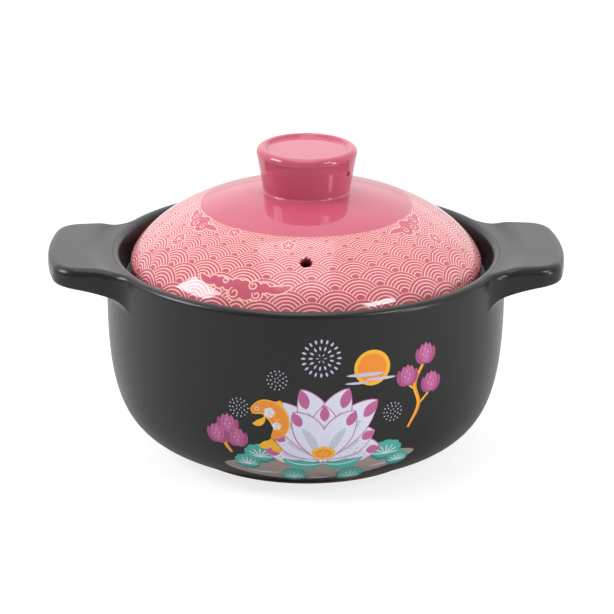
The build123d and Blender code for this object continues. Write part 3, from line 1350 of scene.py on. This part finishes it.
@dataclass
class PrintedSheet:
    """Motifs printed flat and laid on a curved skin, in levels that each stand a little above the last.

    Every motif is one of three shapes: a leaf, a lobed disc or a stroke. Motifs of one paint share a mesh.
    """

    lay: Callable[[Array, float], Array]
    unit: float = 0.8
    lift: float = 0.03
    layer: float = 0.008
    level: int = 0
    shapes: dict = field(default_factory=dict)

    def add(self, paint: Paint, flat: Array, closed: bool = False) -> None:
        """Lays a grid of flat points on the skin and keeps it under its paint.

        Args:
            paint: Its paint.
            flat: The grid, whose row direction crossed with its column direction looks out of the drawing.
            closed: Whether its last column joins its first, in which case its first row is drawn to a pole.
        """
        points = self.lay(flat, self.lift + self.layer * self.level).reshape(-1, 3)
        quads = grid_quads(*flat.shape[:2], closed=closed).reshape(-1, 4)
        if closed:
            middle = points[:flat.shape[1]].mean(axis=0, keepdims=True)
            quads = np.concatenate([quads, pole_fan(np.arange(flat.shape[1]), len(points))])
            points = np.concatenate([points, middle])
        self.shapes.setdefault(paint, []).append((points, quads))

    def band(self, paint: Paint, line: Array, half_width: Array) -> None:
        """A strip along a line: each point of the line is moved aside by the half width times -1 to 1.

        Args:
            paint: Its paint.
            line: The middle line.
            half_width: The strip's half width at each of its points.
        """
        slope = unit(np.gradient(line, axis=0))
        aside = np.stack([-slope[:, 1], slope[:, 0]], -1)
        parts = 2 * math.ceil(float(half_width.max()) / self.unit / 2.0) + 1
        across = np.linspace(-1.0, 1.0, max(3, parts))
        self.add(paint, line[:, None] + aside[:, None] * (half_width[:, None] * across)[..., None])

    def leaf(
        self,
        paint: Paint,
        base: tuple,
        tip: tuple,
        width: float,
        bend: float = 0.0,
        widest: float = 0.5,
        fullness: float = 0.8,
        grow: float = 0.0,
    ) -> None:
        """A leaf or petal: a bent line from base to tip whose half width is a power of a sine.

        Args:
            paint: Its paint.
            base: Where it starts.
            tip: Where it ends.
            width: Its greatest width.
            bend: How far its middle moves to the left of the line, as a share of its length.
            widest: Where along it the greatest width is.
            fullness: The sine's power. A small one gives blunt ends.
            grow: How far its outline moves outward.
        """
        base = np.asarray(base, float)
        tip = np.asarray(tip, float)
        along = tip - base
        length = float(np.linalg.norm(along))
        base = base - along / length * grow
        tip = tip + along / length * grow
        middle = (base + tip) / 2 + np.array([-along[1], along[0]]) * bend
        t = np.linspace(0.0, 1.0, max(13, math.ceil(length / self.unit / 1.6)))[:, None]
        line = (1 - t) ** 2 * base + 2 * (1 - t) * t * (2 * middle - (base + tip) / 2) + t**2 * tip
        hump = np.sin(np.pi * t[:, 0] ** (math.log(0.5) / math.log(widest)))
        self.band(paint, line, (width / 2 + grow) * np.maximum(hump, 1e-4) ** fullness)

    def disc(
        self,
        paint: Paint,
        centre: tuple,
        radius: float,
        lobes: int = 0,
        depth: float = 0.0,
        turn: float = 90.0,
        squash: float = 1.0,
        grow: float = 0.0,
    ) -> None:
        """A round spot, or a lobed one whose radius falls between lobes as an absolute cosine does.

        Args:
            paint: Its paint.
            centre: Its middle.
            radius: Its greatest radius.
            lobes: How many lobes it has.
            depth: How deep the notches between them are, as a share of the radius.
            turn: The direction of one lobe's middle, in degrees.
            squash: Its height as a share of its width.
            grow: How far its outline moves outward.
        """
        columns = max(24, 8 * lobes)
        angle = np.linspace(0.0, 2 * np.pi, columns, endpoint=False)
        dent = 1 - np.abs(np.cos(lobes * (angle - math.radians(turn)) / 2)) ** 0.8
        reach = radius * (1 - depth * dent) + grow
        rows = max(3, math.ceil(radius / self.unit / 1.8)) + 1
        share = np.linspace(0.06, 1.0, rows)[:, None]
        spot = np.stack([share * reach * np.cos(angle), share * reach * np.sin(angle) * squash], -1)
        self.add(paint, np.asarray(centre) + spot, closed=True)

    def stroke(self, paint: Paint, line: Array, width: float, taper: float = 0.0) -> None:
        """A brush stroke along a line, which thins towards both ends.

        Args:
            paint: Its paint.
            line: Its middle line.
            width: Its width.
            taper: How much of the width its ends lose, from 0 to 1.
        """
        t = np.linspace(0.0, 1.0, len(line))
        self.band(paint, line, width / 2 * (1 - taper * np.abs(2 * t - 1) ** 2))

    def burst(self, paint: Paint, centre: tuple, rings: Sequence[tuple], squash: float = 1.0) -> None:
        """Seeds that stand round a middle in rings, each pointing outward.

        Args:
            paint: Its paint.
            centre: The middle.
            rings: For each ring its radius, its count of seeds, and a seed's length and width.
            squash: Height of the rings as a share of their width.
        """
        for number, (radius, count, length, width) in enumerate(rings):
            for step in range(count):
                angle = 2 * math.pi * (step + 0.5 * (number % 2)) / count
                way = np.array([math.cos(angle), math.sin(angle) * squash])
                start = np.asarray(centre) + way * radius
                self.leaf(paint, tuple(start), tuple(start + way * length), width, fullness=0.6)

    def build(self, prefix: str, paints: dict, body: Body, slot: Slot) -> list:
        """Makes a mesh for each paint.

        Args:
            prefix: What the pieces' names start with.
            paints: Each paint's material.
            body: The body that carries them.
            slot: The record's slot. It is not used.

        Returns:
            The pieces.
        """
        pieces = []
        for paint, parts in self.shapes.items():
            starts = np.cumsum([0] + [len(points) for points, _ in parts[:-1]])
            points = np.concatenate([points for points, _ in parts])
            quads = np.concatenate([quads + start for (_, quads), start in zip(parts, starts)])
            pieces.append(make_piece(prefix + paint.value, points, quads, paints[paint], body))
        return pieces


@dataclass
class PondPicture:
    """The transfer on the front: a lotus pond with lily pads, a golden carp, a sun and sprigs of buds."""

    foot: tuple = (10.0, 24.5)

    def draw(self, sheet: PrintedSheet) -> None:
        """Draws the picture from back to front.

        Args:
            sheet: The sheet that it is printed on.
        """
        self.pond(sheet)
        self.sun(sheet, (34.0, 76.0), 9.5)
        pads = (
            ((-24.0, 28.5), 9.0, 2),
            ((-32.0, 22.5), 7.5, 5),
            ((45.0, 28.5), 9.5, 2),
            ((54.0, 22.0), 7.0, 5),
        )
        for centre, size, level in pads:
            self.lily_pad(sheet, centre, size, level)
        self.lotus(sheet, 8)
        self.carp(sheet, 33)
        for centre, size in (((-6.0, 14.2), 7.6), ((27.0, 14.0), 8.2)):
            self.lily_pad(sheet, centre, size, 35)
        tall_stem = [(56.0, 40.0), (61.0, 52.0), (58.0, 64.0), (64.0, 76.0)]
        self.sprig(sheet, tall_stem, ((64.0, 76.0), (53.5, 66.0), (68.0, 60.0)), 8)
        short_stem = [(-40.0, 27.0), (-43.0, 33.0), (-40.5, 41.0)]
        self.sprig(sheet, short_stem, ((-40.5, 41.0), (-47.0, 34.5), (-36.0, 34.0)), 8)
        self.sparks(sheet)

    def pond(self, sheet: PrintedSheet) -> None:
        """The bank and three ripples.

        Args:
            sheet: The sheet that it is printed on.
        """
        sheet.level = 0
        sheet.leaf(Paint.TAUPE, (-47.0, 18.5), (64.0, 24.5), 17.0, bend=-0.02, fullness=0.55)
        sheet.level = 1
        ripples = (
            ((-34.0, 17.0), (-12.0, 16.6)),
            ((36.0, 19.0), (58.0, 22.5)),
            ((2.0, 12.8), (16.0, 12.6)),
        )
        for start, end in ripples:
            sheet.leaf(Paint.LILAC, start, end, 0.9, bend=-0.05)

    def sun(self, sheet: PrintedSheet, centre: tuple, radius: float) -> None:
        """A low sun of two rings behind three thin clouds.

        Args:
            sheet: The sheet that it is printed on.
            centre: Its middle.
            radius: Its radius.
        """
        sheet.level = 0
        sheet.disc(Paint.YELLOW, centre, radius)
        sheet.level = 1
        sheet.disc(Paint.ORANGE, centre, 0.8 * radius)
        sheet.level = 2
        x, z = centre
        clouds = ((-3.5, -3.4, 10.0, 2.0), (4.5, -6.2, 8.5, 1.7), (-8.0, -7.6, 6.0, 1.3))
        for aside, up, reach, width in clouds:
            west = (x + aside - reach, z + up)
            east = (x + aside + reach, z + up)
            sheet.leaf(Paint.LILAC, west, east, width, fullness=0.5)

    def lily_pad(self, sheet: PrintedSheet, centre: tuple, size: float, level: int) -> None:
        """A lily pad with a scalloped edge, seven white veins and a dark underside that shows below it.

        Args:
            sheet: The sheet that it is printed on.
            centre: Its middle.
            size: Its half width.
            level: The level of its underside.
        """
        x, z = centre
        sheet.level = level
        sheet.disc(Paint.PINE, (x, z - 0.10 * size), size, lobes=9, depth=0.10, squash=0.62)
        sheet.level = level + 1
        sheet.disc(Paint.TEAL, (x, z + 0.06 * size), 0.97 * size, lobes=9, depth=0.10, squash=0.60)
        sheet.level = level + 2
        root = np.array([x, z - 0.28 * size])
        for degrees in (8, 35, 62, 90, 118, 145, 172):
            angle = math.radians(degrees)
            tip = root + np.array([math.cos(angle) * 0.78, math.sin(angle) * 0.60]) * size
            rise = root + (tip - root) * 0.4 + (0, 0.05 * size)
            vein = bezier([root, rise, tip - (0, 0.02 * size), tip], 14)
            sheet.stroke(Paint.WHITE, vein, 0.62, taper=0.4)

    def lotus(self, sheet: PrintedSheet, level: int) -> None:
        """The flower: a fan of white petals with pink edges and tips, and a yellow heart between two leaves.

        Args:
            sheet: The sheet that it is printed on.
            level: The level of its hindmost petals.
        """
        fans = (
            (34.0, 15.0, (-78, 78), 0.0),
            (34.0, 15.0, (-58, 58), 0.0),
            (42.0, 16.5, (-38, 38), 1.0),
            (42.0, 16.5, (-16,), 1.0),
            (42.0, 16.5, (16,), 1.0),
            (33.0, 15.0, (0,), 2.5),
            (33.0, 15.0, (-27, 27), 2.5),
        )
        for number, (length, width, angles, sink) in enumerate(fans):
            for degrees in angles:
                angle = math.radians(degrees)
                way = np.array([math.sin(angle), math.cos(angle)])
                root = np.array([self.foot[0], self.foot[1] - sink]) + way * 2.0
                tip = root + way * length * (0.86 if abs(degrees) > 50 else 1.0)
                bend = math.copysign(0.07, degrees) if degrees else 0.0
                shape = {"bend": bend, "widest": 0.56, "fullness": 0.72}
                sheet.level = level + 3 * number
                sheet.leaf(Paint.PINK, tuple(root), tuple(tip), width, grow=0.55, **shape)
                sheet.level += 1
                sheet.leaf(Paint.WHITE, tuple(root), tuple(tip), width, **shape)
                sheet.level += 1
                veil_start = root + (tip - root) * 0.12
                veil_end = root + (tip - root) * 0.70
                sheet.leaf(Paint.LILAC, tuple(veil_start), tuple(veil_end), 0.30 * width, **shape)
                blush = root + (tip - root) * 0.74
                sheet.leaf(Paint.PINK, tuple(blush), tuple(tip), 0.33 * width, widest=0.45)
        x, z = self.foot
        sheet.level = level + 3 * len(fans)
        sheet.disc(Paint.YELLOW, (x, z + 5.5), 6.6, lobes=9, depth=0.12, squash=0.62)
        sheet.level += 1
        sheet.disc(Paint.ORANGE, (x, z + 5.2), 4.4, squash=0.62)
        sheet.level += 1
        for aside, up in ((-2.1, 5.2), (0.0, 6.2), (2.1, 5.2), (-1.1, 4.1), (1.1, 4.1)):
            sheet.disc(Paint.YELLOW, (x + aside, z + up), 0.62)
        for side in (-1.0, 1.0):
            sheet.leaf(Paint.TEAL, (x, z - 1.0), (x + side * 22.0, z + 1.5), 6.5, bend=-side * 0.13)
        sheet.level += 1
        for side in (-1.0, 1.0):
            steps = ((0, -1.0), (8, -3.2), (15, -2.0), (20, 0.8))
            vein = bezier([(x + side * aside, z + up) for aside, up in steps], 16)
            sheet.stroke(Paint.WHITE, vein, 0.55, taper=0.6)

    def carp(self, sheet: PrintedSheet, level: int) -> None:
        """A golden carp that leaps to the left of the flower.

        Args:
            sheet: The sheet that it is printed on.
            level: The level of its fins.
        """
        back = [(-27.5, 53.0), (-20.5, 55.5), (-14.0, 51.5), (-12.5, 44.0), (-17.0, 38.0)]
        line = smooth_line(back, 40)
        share = np.linspace(0.0, 1.0, 40)
        girth = np.sin(np.pi * np.clip(share * 0.92 + 0.06, 0, 1)) ** 0.75
        sheet.level = level
        for bend, reach in ((0.22, (-24.5, 33.5)), (-0.22, (-11.5, 30.5))):
            sheet.leaf(Paint.YELLOW, (-16.6, 39.6), reach, 4.6, bend=bend, widest=0.62)
        sheet.leaf(Paint.YELLOW, (-19.0, 54.0), (-12.5, 60.0), 5.0, bend=-0.2, widest=0.6)
        sheet.leaf(Paint.YELLOW, (-20.0, 51.5), (-27.0, 46.0), 3.6, bend=0.2, widest=0.6)
        sheet.band(Paint.YELLOW, line, girth * 5.3)
        sheet.level += 1
        sheet.band(Paint.ORANGE, line, girth * 4.5)
        sheet.level += 1
        sheet.disc(Paint.WHITE, (-18.0, 52.8), 2.9, lobes=5, depth=0.18, turn=70)
        sheet.disc(Paint.WHITE, (-14.3, 45.5), 2.4, lobes=5, depth=0.18, turn=20)
        sheet.disc(Paint.WHITE, (-24.4, 54.6), 1.05)
        sheet.level += 1
        for row in (0.42, 0.52, 0.62, 0.72):
            middle = line[int(row * 39)]
            sheet.stroke(Paint.YELLOW, curl(tuple(middle), 160.0, 150.0, 2.1, 2.1, 14), 0.5)
        sheet.disc(Paint.PLUM, (-24.5, 54.6), 0.55)

    def sprig(self, sheet: PrintedSheet, stem: Sequence[tuple], buds: Sequence[tuple], level: int) -> None:
        """A stem with a bud at its tip and others on side stalks.

        Args:
            sheet: The sheet that it is printed on.
            stem: Points that the stem passes.
            buds: The buds' places, that of the tip first.
            level: The level of its stalks.
        """
        line = smooth_line(stem, 40)
        sheet.level = level
        for bud in buds[1:]:
            near = line[int(np.argmin(np.linalg.norm(line - np.asarray(bud), axis=1))) - 6]
            stalk = bezier([tuple(near), tuple(near + (0.0, 2.0)), (bud[0], bud[1] - 3.0), bud], 14)
            sheet.stroke(Paint.YELLOW, stalk, 1.1, taper=0.2)
        sheet.level += 1
        sheet.stroke(Paint.ORANGE, line, 2.2, taper=0.35)
        sheet.level += 1
        sheet.stroke(Paint.YELLOW, line + (-0.45, 0.1), 0.7, taper=0.5)
        for x, z in buds:
            sheet.level = level + 3
            for side, height in ((-1.0, 8.0), (1.0, 8.0), (-0.45, 10.0), (0.45, 10.0), (0.0, 10.8)):
                shape = {"widest": 0.42, "fullness": 0.75, "bend": -side * 0.10}
                tip = (x + side * 5.0, z + height - 2.0)
                paint = Paint.PLUM if abs(side) > 0.7 else Paint.PINK
                sheet.leaf(Paint.PLUM, (x, z - 2.0), tip, 5.0, grow=0.3, **shape)
                sheet.level += 1
                sheet.leaf(paint, (x, z - 2.0), tip, 4.6, **shape)
                sheet.level += 1
            for aside, up in ((-1.6, 2.6), (1.4, 3.4), (-0.4, 5.2), (0.5, 1.2)):
                sheet.disc(Paint.LILAC, (x + aside, z + up), 0.32)

    def sparks(self, sheet: PrintedSheet) -> None:
        """Bursts of seeds in the open ground: one of long seeds and three of dots.

        Args:
            sheet: The sheet that it is printed on.
        """
        sheet.level = 2
        large_rings = [(1.2, 6, 1.6, 0.5), (4.2, 13, 2.3, 1.0), (7.8, 20, 2.4, 1.1)]
        sheet.burst(Paint.LILAC, (8.0, 82.5), large_rings)
        small_rings = [(0.9, 5, 0.9, 0.5), (2.7, 9, 1.0, 0.6), (4.4, 14, 1.0, 0.6)]
        for centre in ((-14.0, 70.5), (46.0, 50.5), (-34.0, 54.0)):
            sheet.burst(Paint.LILAC, centre, small_rings)


@dataclass(frozen=True)
class CloudForm:
    """A cloud's shape about its middle, in columns of scales.

    It holds each spot's place and radius, each leaf's base, tip, width and bend, and each curl's place, the
    angle of its outer end, its turn and its outer radius. All of them end at one inner radius.
    """

    spots: tuple
    leaves: tuple
    curls: tuple
    curl_end: float


LONG_CLOUD = CloudForm(
    spots=(
        (-0.75, 0.06, 0.10),
        (-0.58, 0.03, 0.13),
        (-0.38, 0.01, 0.12),
        (-0.20, 0.04, 0.13),
        (-0.02, 0.02, 0.14),
        (-0.18, -0.13, 0.16),
        (0.06, -0.11, 0.16),
        (0.27, -0.12, 0.13),
        (0.22, 0.05, 0.12),
        (0.42, 0.03, 0.11),
    ),
    leaves=(
        (0.36, 0.02, 1.00, 0.11, 0.17, -0.10),
        (-0.60, 0.05, -1.14, 0.13, 0.15, 0.16),
    ),
    curls=(
        (-0.46, 0.09, 60.0, 430.0, 0.08),
        (-0.20, -0.15, 120.0, 440.0, 0.13),
        (0.18, 0.06, 150.0, 420.0, 0.10),
        (0.28, -0.14, 150.0, 400.0, 0.09),
    ),
    curl_end=0.03,
)
SHORT_CLOUD = CloudForm(
    spots=(
        (-0.46, 0.14, 0.21),
        (-0.10, 0.02, 0.25),
        (0.32, -0.04, 0.21),
        (0.10, 0.16, 0.22),
    ),
    leaves=(
        (0.2, -0.05, 1.00, 0.04, 0.20, 0.1),
        (-0.5, 0.14, -0.95, 0.28, 0.20, 0.1),
    ),
    curls=(
        (-0.42, 0.12, 80.0, 400.0, 0.14),
        (-0.06, -0.02, 110.0, 400.0, 0.16),
        (0.34, -0.02, 70.0, 400.0, 0.13),
    ),
    curl_end=0.025,
)


@dataclass
class DomePicture:
    """Clouds and five-petal blossoms drawn over the wave scales, with the plain ground inside them."""

    line_width: float = 0.030
    stamen_width: float = 0.022
    clouds: tuple = (
        (LONG_CLOUD, (-1.30, 0.55), 1.0),
        (SHORT_CLOUD, (-4.00, 1.94), 1.0),
        (SHORT_CLOUD, (3.75, 1.94), -1.0),
    )
    blossoms: tuple = ((-0.52, 1.92), (-3.89, 1.23), (4.06, 1.25), (-2.39, 2.14))
    blossom_radius: float = 0.19

    def draw(self, sheet: PrintedSheet) -> None:
        """Draws the clouds and blossoms.

        Args:
            sheet: The sheet that they are printed on.
        """
        for form, at, side in self.clouds:
            self.cloud(sheet, form, at, side)
        for at in self.blossoms:
            self.blossom(sheet, at, self.blossom_radius)

    def cloud(self, sheet: PrintedSheet, form: CloudForm, at: tuple, side: float) -> None:
        """A cloud: a ground of merged spots and leaves with one line round them all, and curls inside.

        Args:
            sheet: The sheet that it is printed on.
            form: Its shape.
            at: Its middle.
            side: 1, or -1 to mirror it.
        """
        x, y = at
        layers = ((Paint.CREAM, self.line_width), (Paint.ROSE, 0.0))
        for level, (paint, grow) in enumerate(layers):
            sheet.level = level
            for aside, up, radius in form.spots:
                sheet.disc(paint, (x + side * aside, y + up), radius, grow=grow)
            for aside, up, tip_aside, tip_up, width, bend in form.leaves:
                base = (x + side * aside, y + up)
                tip = (x + side * tip_aside, y + tip_up)
                sheet.leaf(paint, base, tip, width, bend=bend * side, grow=grow, fullness=0.7)
        sheet.level = len(layers)
        for aside, up, start, turn, outer in form.curls:
            flip = start if side > 0 else 180.0 - start
            line = curl((x + side * aside, y + up), flip, side * turn, outer, form.curl_end)
            sheet.stroke(Paint.CREAM, line, self.line_width, 0.3)

    def blossom(self, sheet: PrintedSheet, at: tuple, radius: float) -> None:
        """A five-petal blossom: a cream outline, the ground inside it and five cream stamens.

        Args:
            sheet: The sheet that it is printed on.
            at: Its middle.
            radius: The radius of its petals.
        """
        sheet.level = 0
        sheet.disc(Paint.CREAM, at, radius, lobes=5, depth=0.30, grow=self.line_width)
        sheet.level = 1
        sheet.disc(Paint.ROSE, at, radius, lobes=5, depth=0.30)
        sheet.level = 2
        sheet.disc(Paint.CREAM, at, 0.22 * radius)
        for step in range(5):
            angle = math.radians(90 + 72 * step)
            way = np.array([math.cos(angle), math.sin(angle)])
            line = np.asarray(at) + way * np.linspace(0.15, 0.68, 8)[:, None] * radius
            sheet.stroke(Paint.CREAM, line, self.stamen_width)


@dataclass
class Studio:
    """The pale floor, the soft light and the camera."""

    distance: float = 2.0
    elevation: float = 19.36
    roll: float = 0.44
    target_height: float = 0.08
    lens: float = 225.73
    shift: tuple = (0.0020, -0.0205)
    lamp_distance: float = 1.3
    paper: float = 0.62
    shadow_paper: float = 0.32
    paper_glow: float = 0.78
    mirror_share: float = 0.45
    mirror_ramp: tuple = (3.0, -0.3)
    sweep_radius: float = 3200.0
    sweep_depth: float = 0.05
    room_lean: float = 0.55
    room_ramp: tuple = (0.85, 0.45)
    room_blend: float = 0.2
    dimmest_room: float = 0.32
    back_wall: float = 0.05
    lamps: tuple = (
        ("left_soft_box", (-0.82, -0.09, 0.54), (0.56, 0.46), 10.0),
        ("right_soft_box", (0.64, -0.54, 0.54), (0.42, 0.22), 4.5),
        ("right_strip", (0.87, -0.48, 0.12), (0.24, 0.50), 4.0),
        ("overhead_soft_box", (-0.05, 0.0, 1.0), (1.1, 0.6), 3.7),
        ("top_soft_box", (0.0, 0.62, 0.78), (2.0, 1.2), 3.0),
        ("back_soft_box", (0.0, 0.95, 0.31), (1.8, 0.4), 0.9),
    )

    def floor(self) -> bpy.types.Object:
        """A wide white disc. What the camera and reflections see of it is white, all but the shadow.

        Returns:
            The disc.
        """
        material = bpy.data.materials.new("white_sweep")
        material.use_nodes = True
        tree = material.node_tree
        tree.nodes.clear()
        paper, shaded = (
            add_node(tree, "ShaderNodeBsdfDiffuse", {"Color": (level, level, level, 1.0)}, 0)
            for level in (self.paper, self.shadow_paper)
        )
        glow = add_node(tree, "ShaderNodeEmission", {"Strength": self.paper_glow}, 0)
        lit = add_node(tree, "ShaderNodeAddShader", {0: shaded, 1: glow}, 0)
        path = add_node(tree, "ShaderNodeLightPath")
        place = add_node(tree, "ShaderNodeTexCoord", output="Object")
        known = work_out(
            tree,
            {
                "y": add_node(tree, "ShaderNodeSeparateXYZ", {0: place}, "Y"),
                "camera": path.outputs["Is Camera Ray"],
                "glossy": path.outputs["Is Glossy Ray"],
                "through": path.outputs["Is Transmission Ray"],
            },
            [
                ("ramp", "MULTIPLY_ADD", "y", *self.mirror_ramp),
                ("from_front", "MAXIMUM", "ramp", 0.0),
                ("behind", "MINIMUM", "from_front", 1.0),
                ("mirror", "MAXIMUM", "glossy", "through"),
                ("mirror_behind", "MULTIPLY", "mirror", "behind"),
                ("mirror_part", "MULTIPLY", "mirror_behind", self.mirror_share),
                ("seen", "MAXIMUM", "camera", "mirror_part"),
            ],
        )
        surface = add_node(tree, "ShaderNodeMixShader", {0: known["seen"], 1: paper, 2: lit}, 0)
        add_node(tree, "ShaderNodeOutputMaterial", {"Surface": surface})
        rows, columns = 12, 96
        ring = np.linspace(0.02, 1.0, rows)[:, None] ** 1.5 * self.sweep_radius
        angle = np.linspace(0.0, 2 * np.pi, columns, endpoint=False)
        points = about_axis(ring, angle, -self.sweep_depth).reshape(-1, 3)
        quads = grid_quads(rows, columns, closed=True).reshape(-1, 4)
        quads = np.concatenate([quads, pole_fan(np.arange(columns), len(points))])
        points = np.concatenate([points, [(0.0, 0.0, -self.sweep_depth)]])
        mesh = bpy.data.meshes.new("sweep")
        mesh.from_pydata((points * MILLIMETRE).tolist(), [], quads.tolist())
        mesh.materials.append(material)
        sweep = bpy.data.objects.new("sweep", mesh)
        bpy.context.scene.collection.objects.link(sweep)
        return sweep

    def world(self) -> None:
        """White above and behind the pot, and a dimmer room on the side of the camera."""
        world = bpy.data.worlds.new("studio_room")
        bpy.context.scene.world = world
        world.use_nodes = True
        tree = world.node_tree
        tree.nodes.clear()
        way = add_node(tree, "ShaderNodeTexCoord", output="Generated")
        axes = add_node(tree, "ShaderNodeSeparateXYZ", {0: way})
        path = add_node(tree, "ShaderNodeLightPath")
        known = work_out(
            tree,
            {
                "back": axes.outputs["Y"],
                "up": axes.outputs["Z"],
                "camera": path.outputs["Is Camera Ray"],
                "glossy": path.outputs["Is Glossy Ray"],
                "through": path.outputs["Is Transmission Ray"],
            },
            [
                ("lean", "MULTIPLY_ADD", "up", self.room_lean, "back"),
                ("ramp", "MULTIPLY_ADD", "lean", *self.room_ramp),
                ("soft", "SMOOTH_MIN", "ramp", 1.0, self.room_blend),
                ("level", "MAXIMUM", "soft", self.dimmest_room),
                ("behind", "GREATER_THAN", "back", self.back_wall),
                ("mirror", "MAXIMUM", "glossy", "through"),
                ("mirror_behind", "MULTIPLY", "mirror", "behind"),
                ("seen", "MAXIMUM", "camera", "mirror_behind"),
                ("lift", "SUBTRACT", 1.0, "level"),
                ("strength", "MULTIPLY_ADD", "lift", "seen", "level"),
            ],
        )
        white = {"Color": (1.0, 1.0, 1.0, 1.0), "Strength": known["strength"]}
        sky = add_node(tree, "ShaderNodeBackground", white, 0)
        add_node(tree, "ShaderNodeOutputWorld", {"Surface": sky})

    def lamp(self, name: str, way: tuple, size: tuple, power: float) -> None:
        """A soft box that stands off in a direction and faces the pot.

        Args:
            name: Its name.
            way: Its direction from the pot.
            size: Its width and height in metres.
            power: Its power in watts.
        """
        light = bpy.data.lights.new(name, "AREA")
        light.shape = "RECTANGLE"
        light.size, light.size_y = size
        light.energy = power
        lamp = bpy.data.objects.new(name, light)
        heading = Vector(way).normalized()
        lamp.location = Vector((0.0, 0.0, self.target_height)) + heading * self.lamp_distance
        lamp.rotation_euler = heading.to_track_quat("Z", "Y").to_euler()
        bpy.context.scene.collection.objects.link(lamp)

    def camera(self) -> None:
        """The camera, turned against the pot as the photograph sees it."""
        turn = math.radians(PHOTO_TURN)
        rise = math.radians(self.elevation)
        way = Vector((-math.sin(turn) * math.cos(rise), -math.cos(turn) * math.cos(rise), math.sin(rise)))
        lens = bpy.data.cameras.new("view")
        lens.lens = self.lens
        lens.sensor_width = 36.0
        lens.shift_x, lens.shift_y = self.shift
        eye = bpy.data.objects.new("view", lens)
        eye.location = Vector((0.0, 0.0, self.target_height)) + way * self.distance
        level = way.to_track_quat("Z", "Y")
        eye.rotation_euler = (level @ Quaternion((0.0, 0.0, 1.0), math.radians(self.roll))).to_euler()
        bpy.context.scene.collection.objects.link(eye)
        bpy.context.scene.camera = eye

    def build(self) -> None:
        """Sets up the whole stage."""
        self.floor()
        self.world()
        for lamp in self.lamps:
            self.lamp(*lamp)
        self.camera()
        bpy.context.scene.view_settings.view_transform = "Standard"


def main() -> None:
    """Builds the pot, the lid, their prints and the stage."""
    logging.basicConfig(level=logging.INFO, format="%(name)s: %(message)s")
    glaze = SatinBlackGlaze().material()
    plain_rose = RoseGlaze().material()
    pot = ClayPot()
    pot.build(glaze)

    colours = {
        Paint.WHITE: ("#E2E4F2", "#D6D9EC"),
        Paint.LILAC: ("#C9CDE0", "#B9BED6"),
        Paint.PINK: ("#C4669B", "#B85A90"),
        Paint.PLUM: ("#A84A80", "#9C4076"),
        Paint.TEAL: ("#4BB2A5", "#3FA597"),
        Paint.PINE: ("#2F8C84", "#2A8079"),
        Paint.ORANGE: ("#F5962D", "#EC8722"),
        Paint.YELLOW: ("#F8BE28", "#EFAF1E"),
        Paint.TAUPE: ("#A3938C", "#98877F"),
    }
    paints = {paint: Transfer(paint.value, *pair).material() for paint, pair in colours.items()}
    front = PrintedSheet(pot.on_wall)
    PondPicture().draw(front)
    front.build("pond_", paints, Body.POT, Slot.BLACK)

    lid = DomedLid()
    lid.build(WaveGlaze().material())
    HollowKnob().build(lid, plain_rose)
    cover = PrintedSheet(lid.on_dome, unit=0.045, lift=0.03, layer=0.01)
    DomePicture().draw(cover)
    inks = {
        Paint.ROSE: RoseGlaze().material("rose_ground"),
        Paint.CREAM: RoseGlaze("#F2C0B2", "#EDB6A8").material("cream_line"),
    }
    cover.build("dome_", inks, Body.LID, Slot.ROSE)

    Studio().build()


if __name__ == "__main__":
    main()
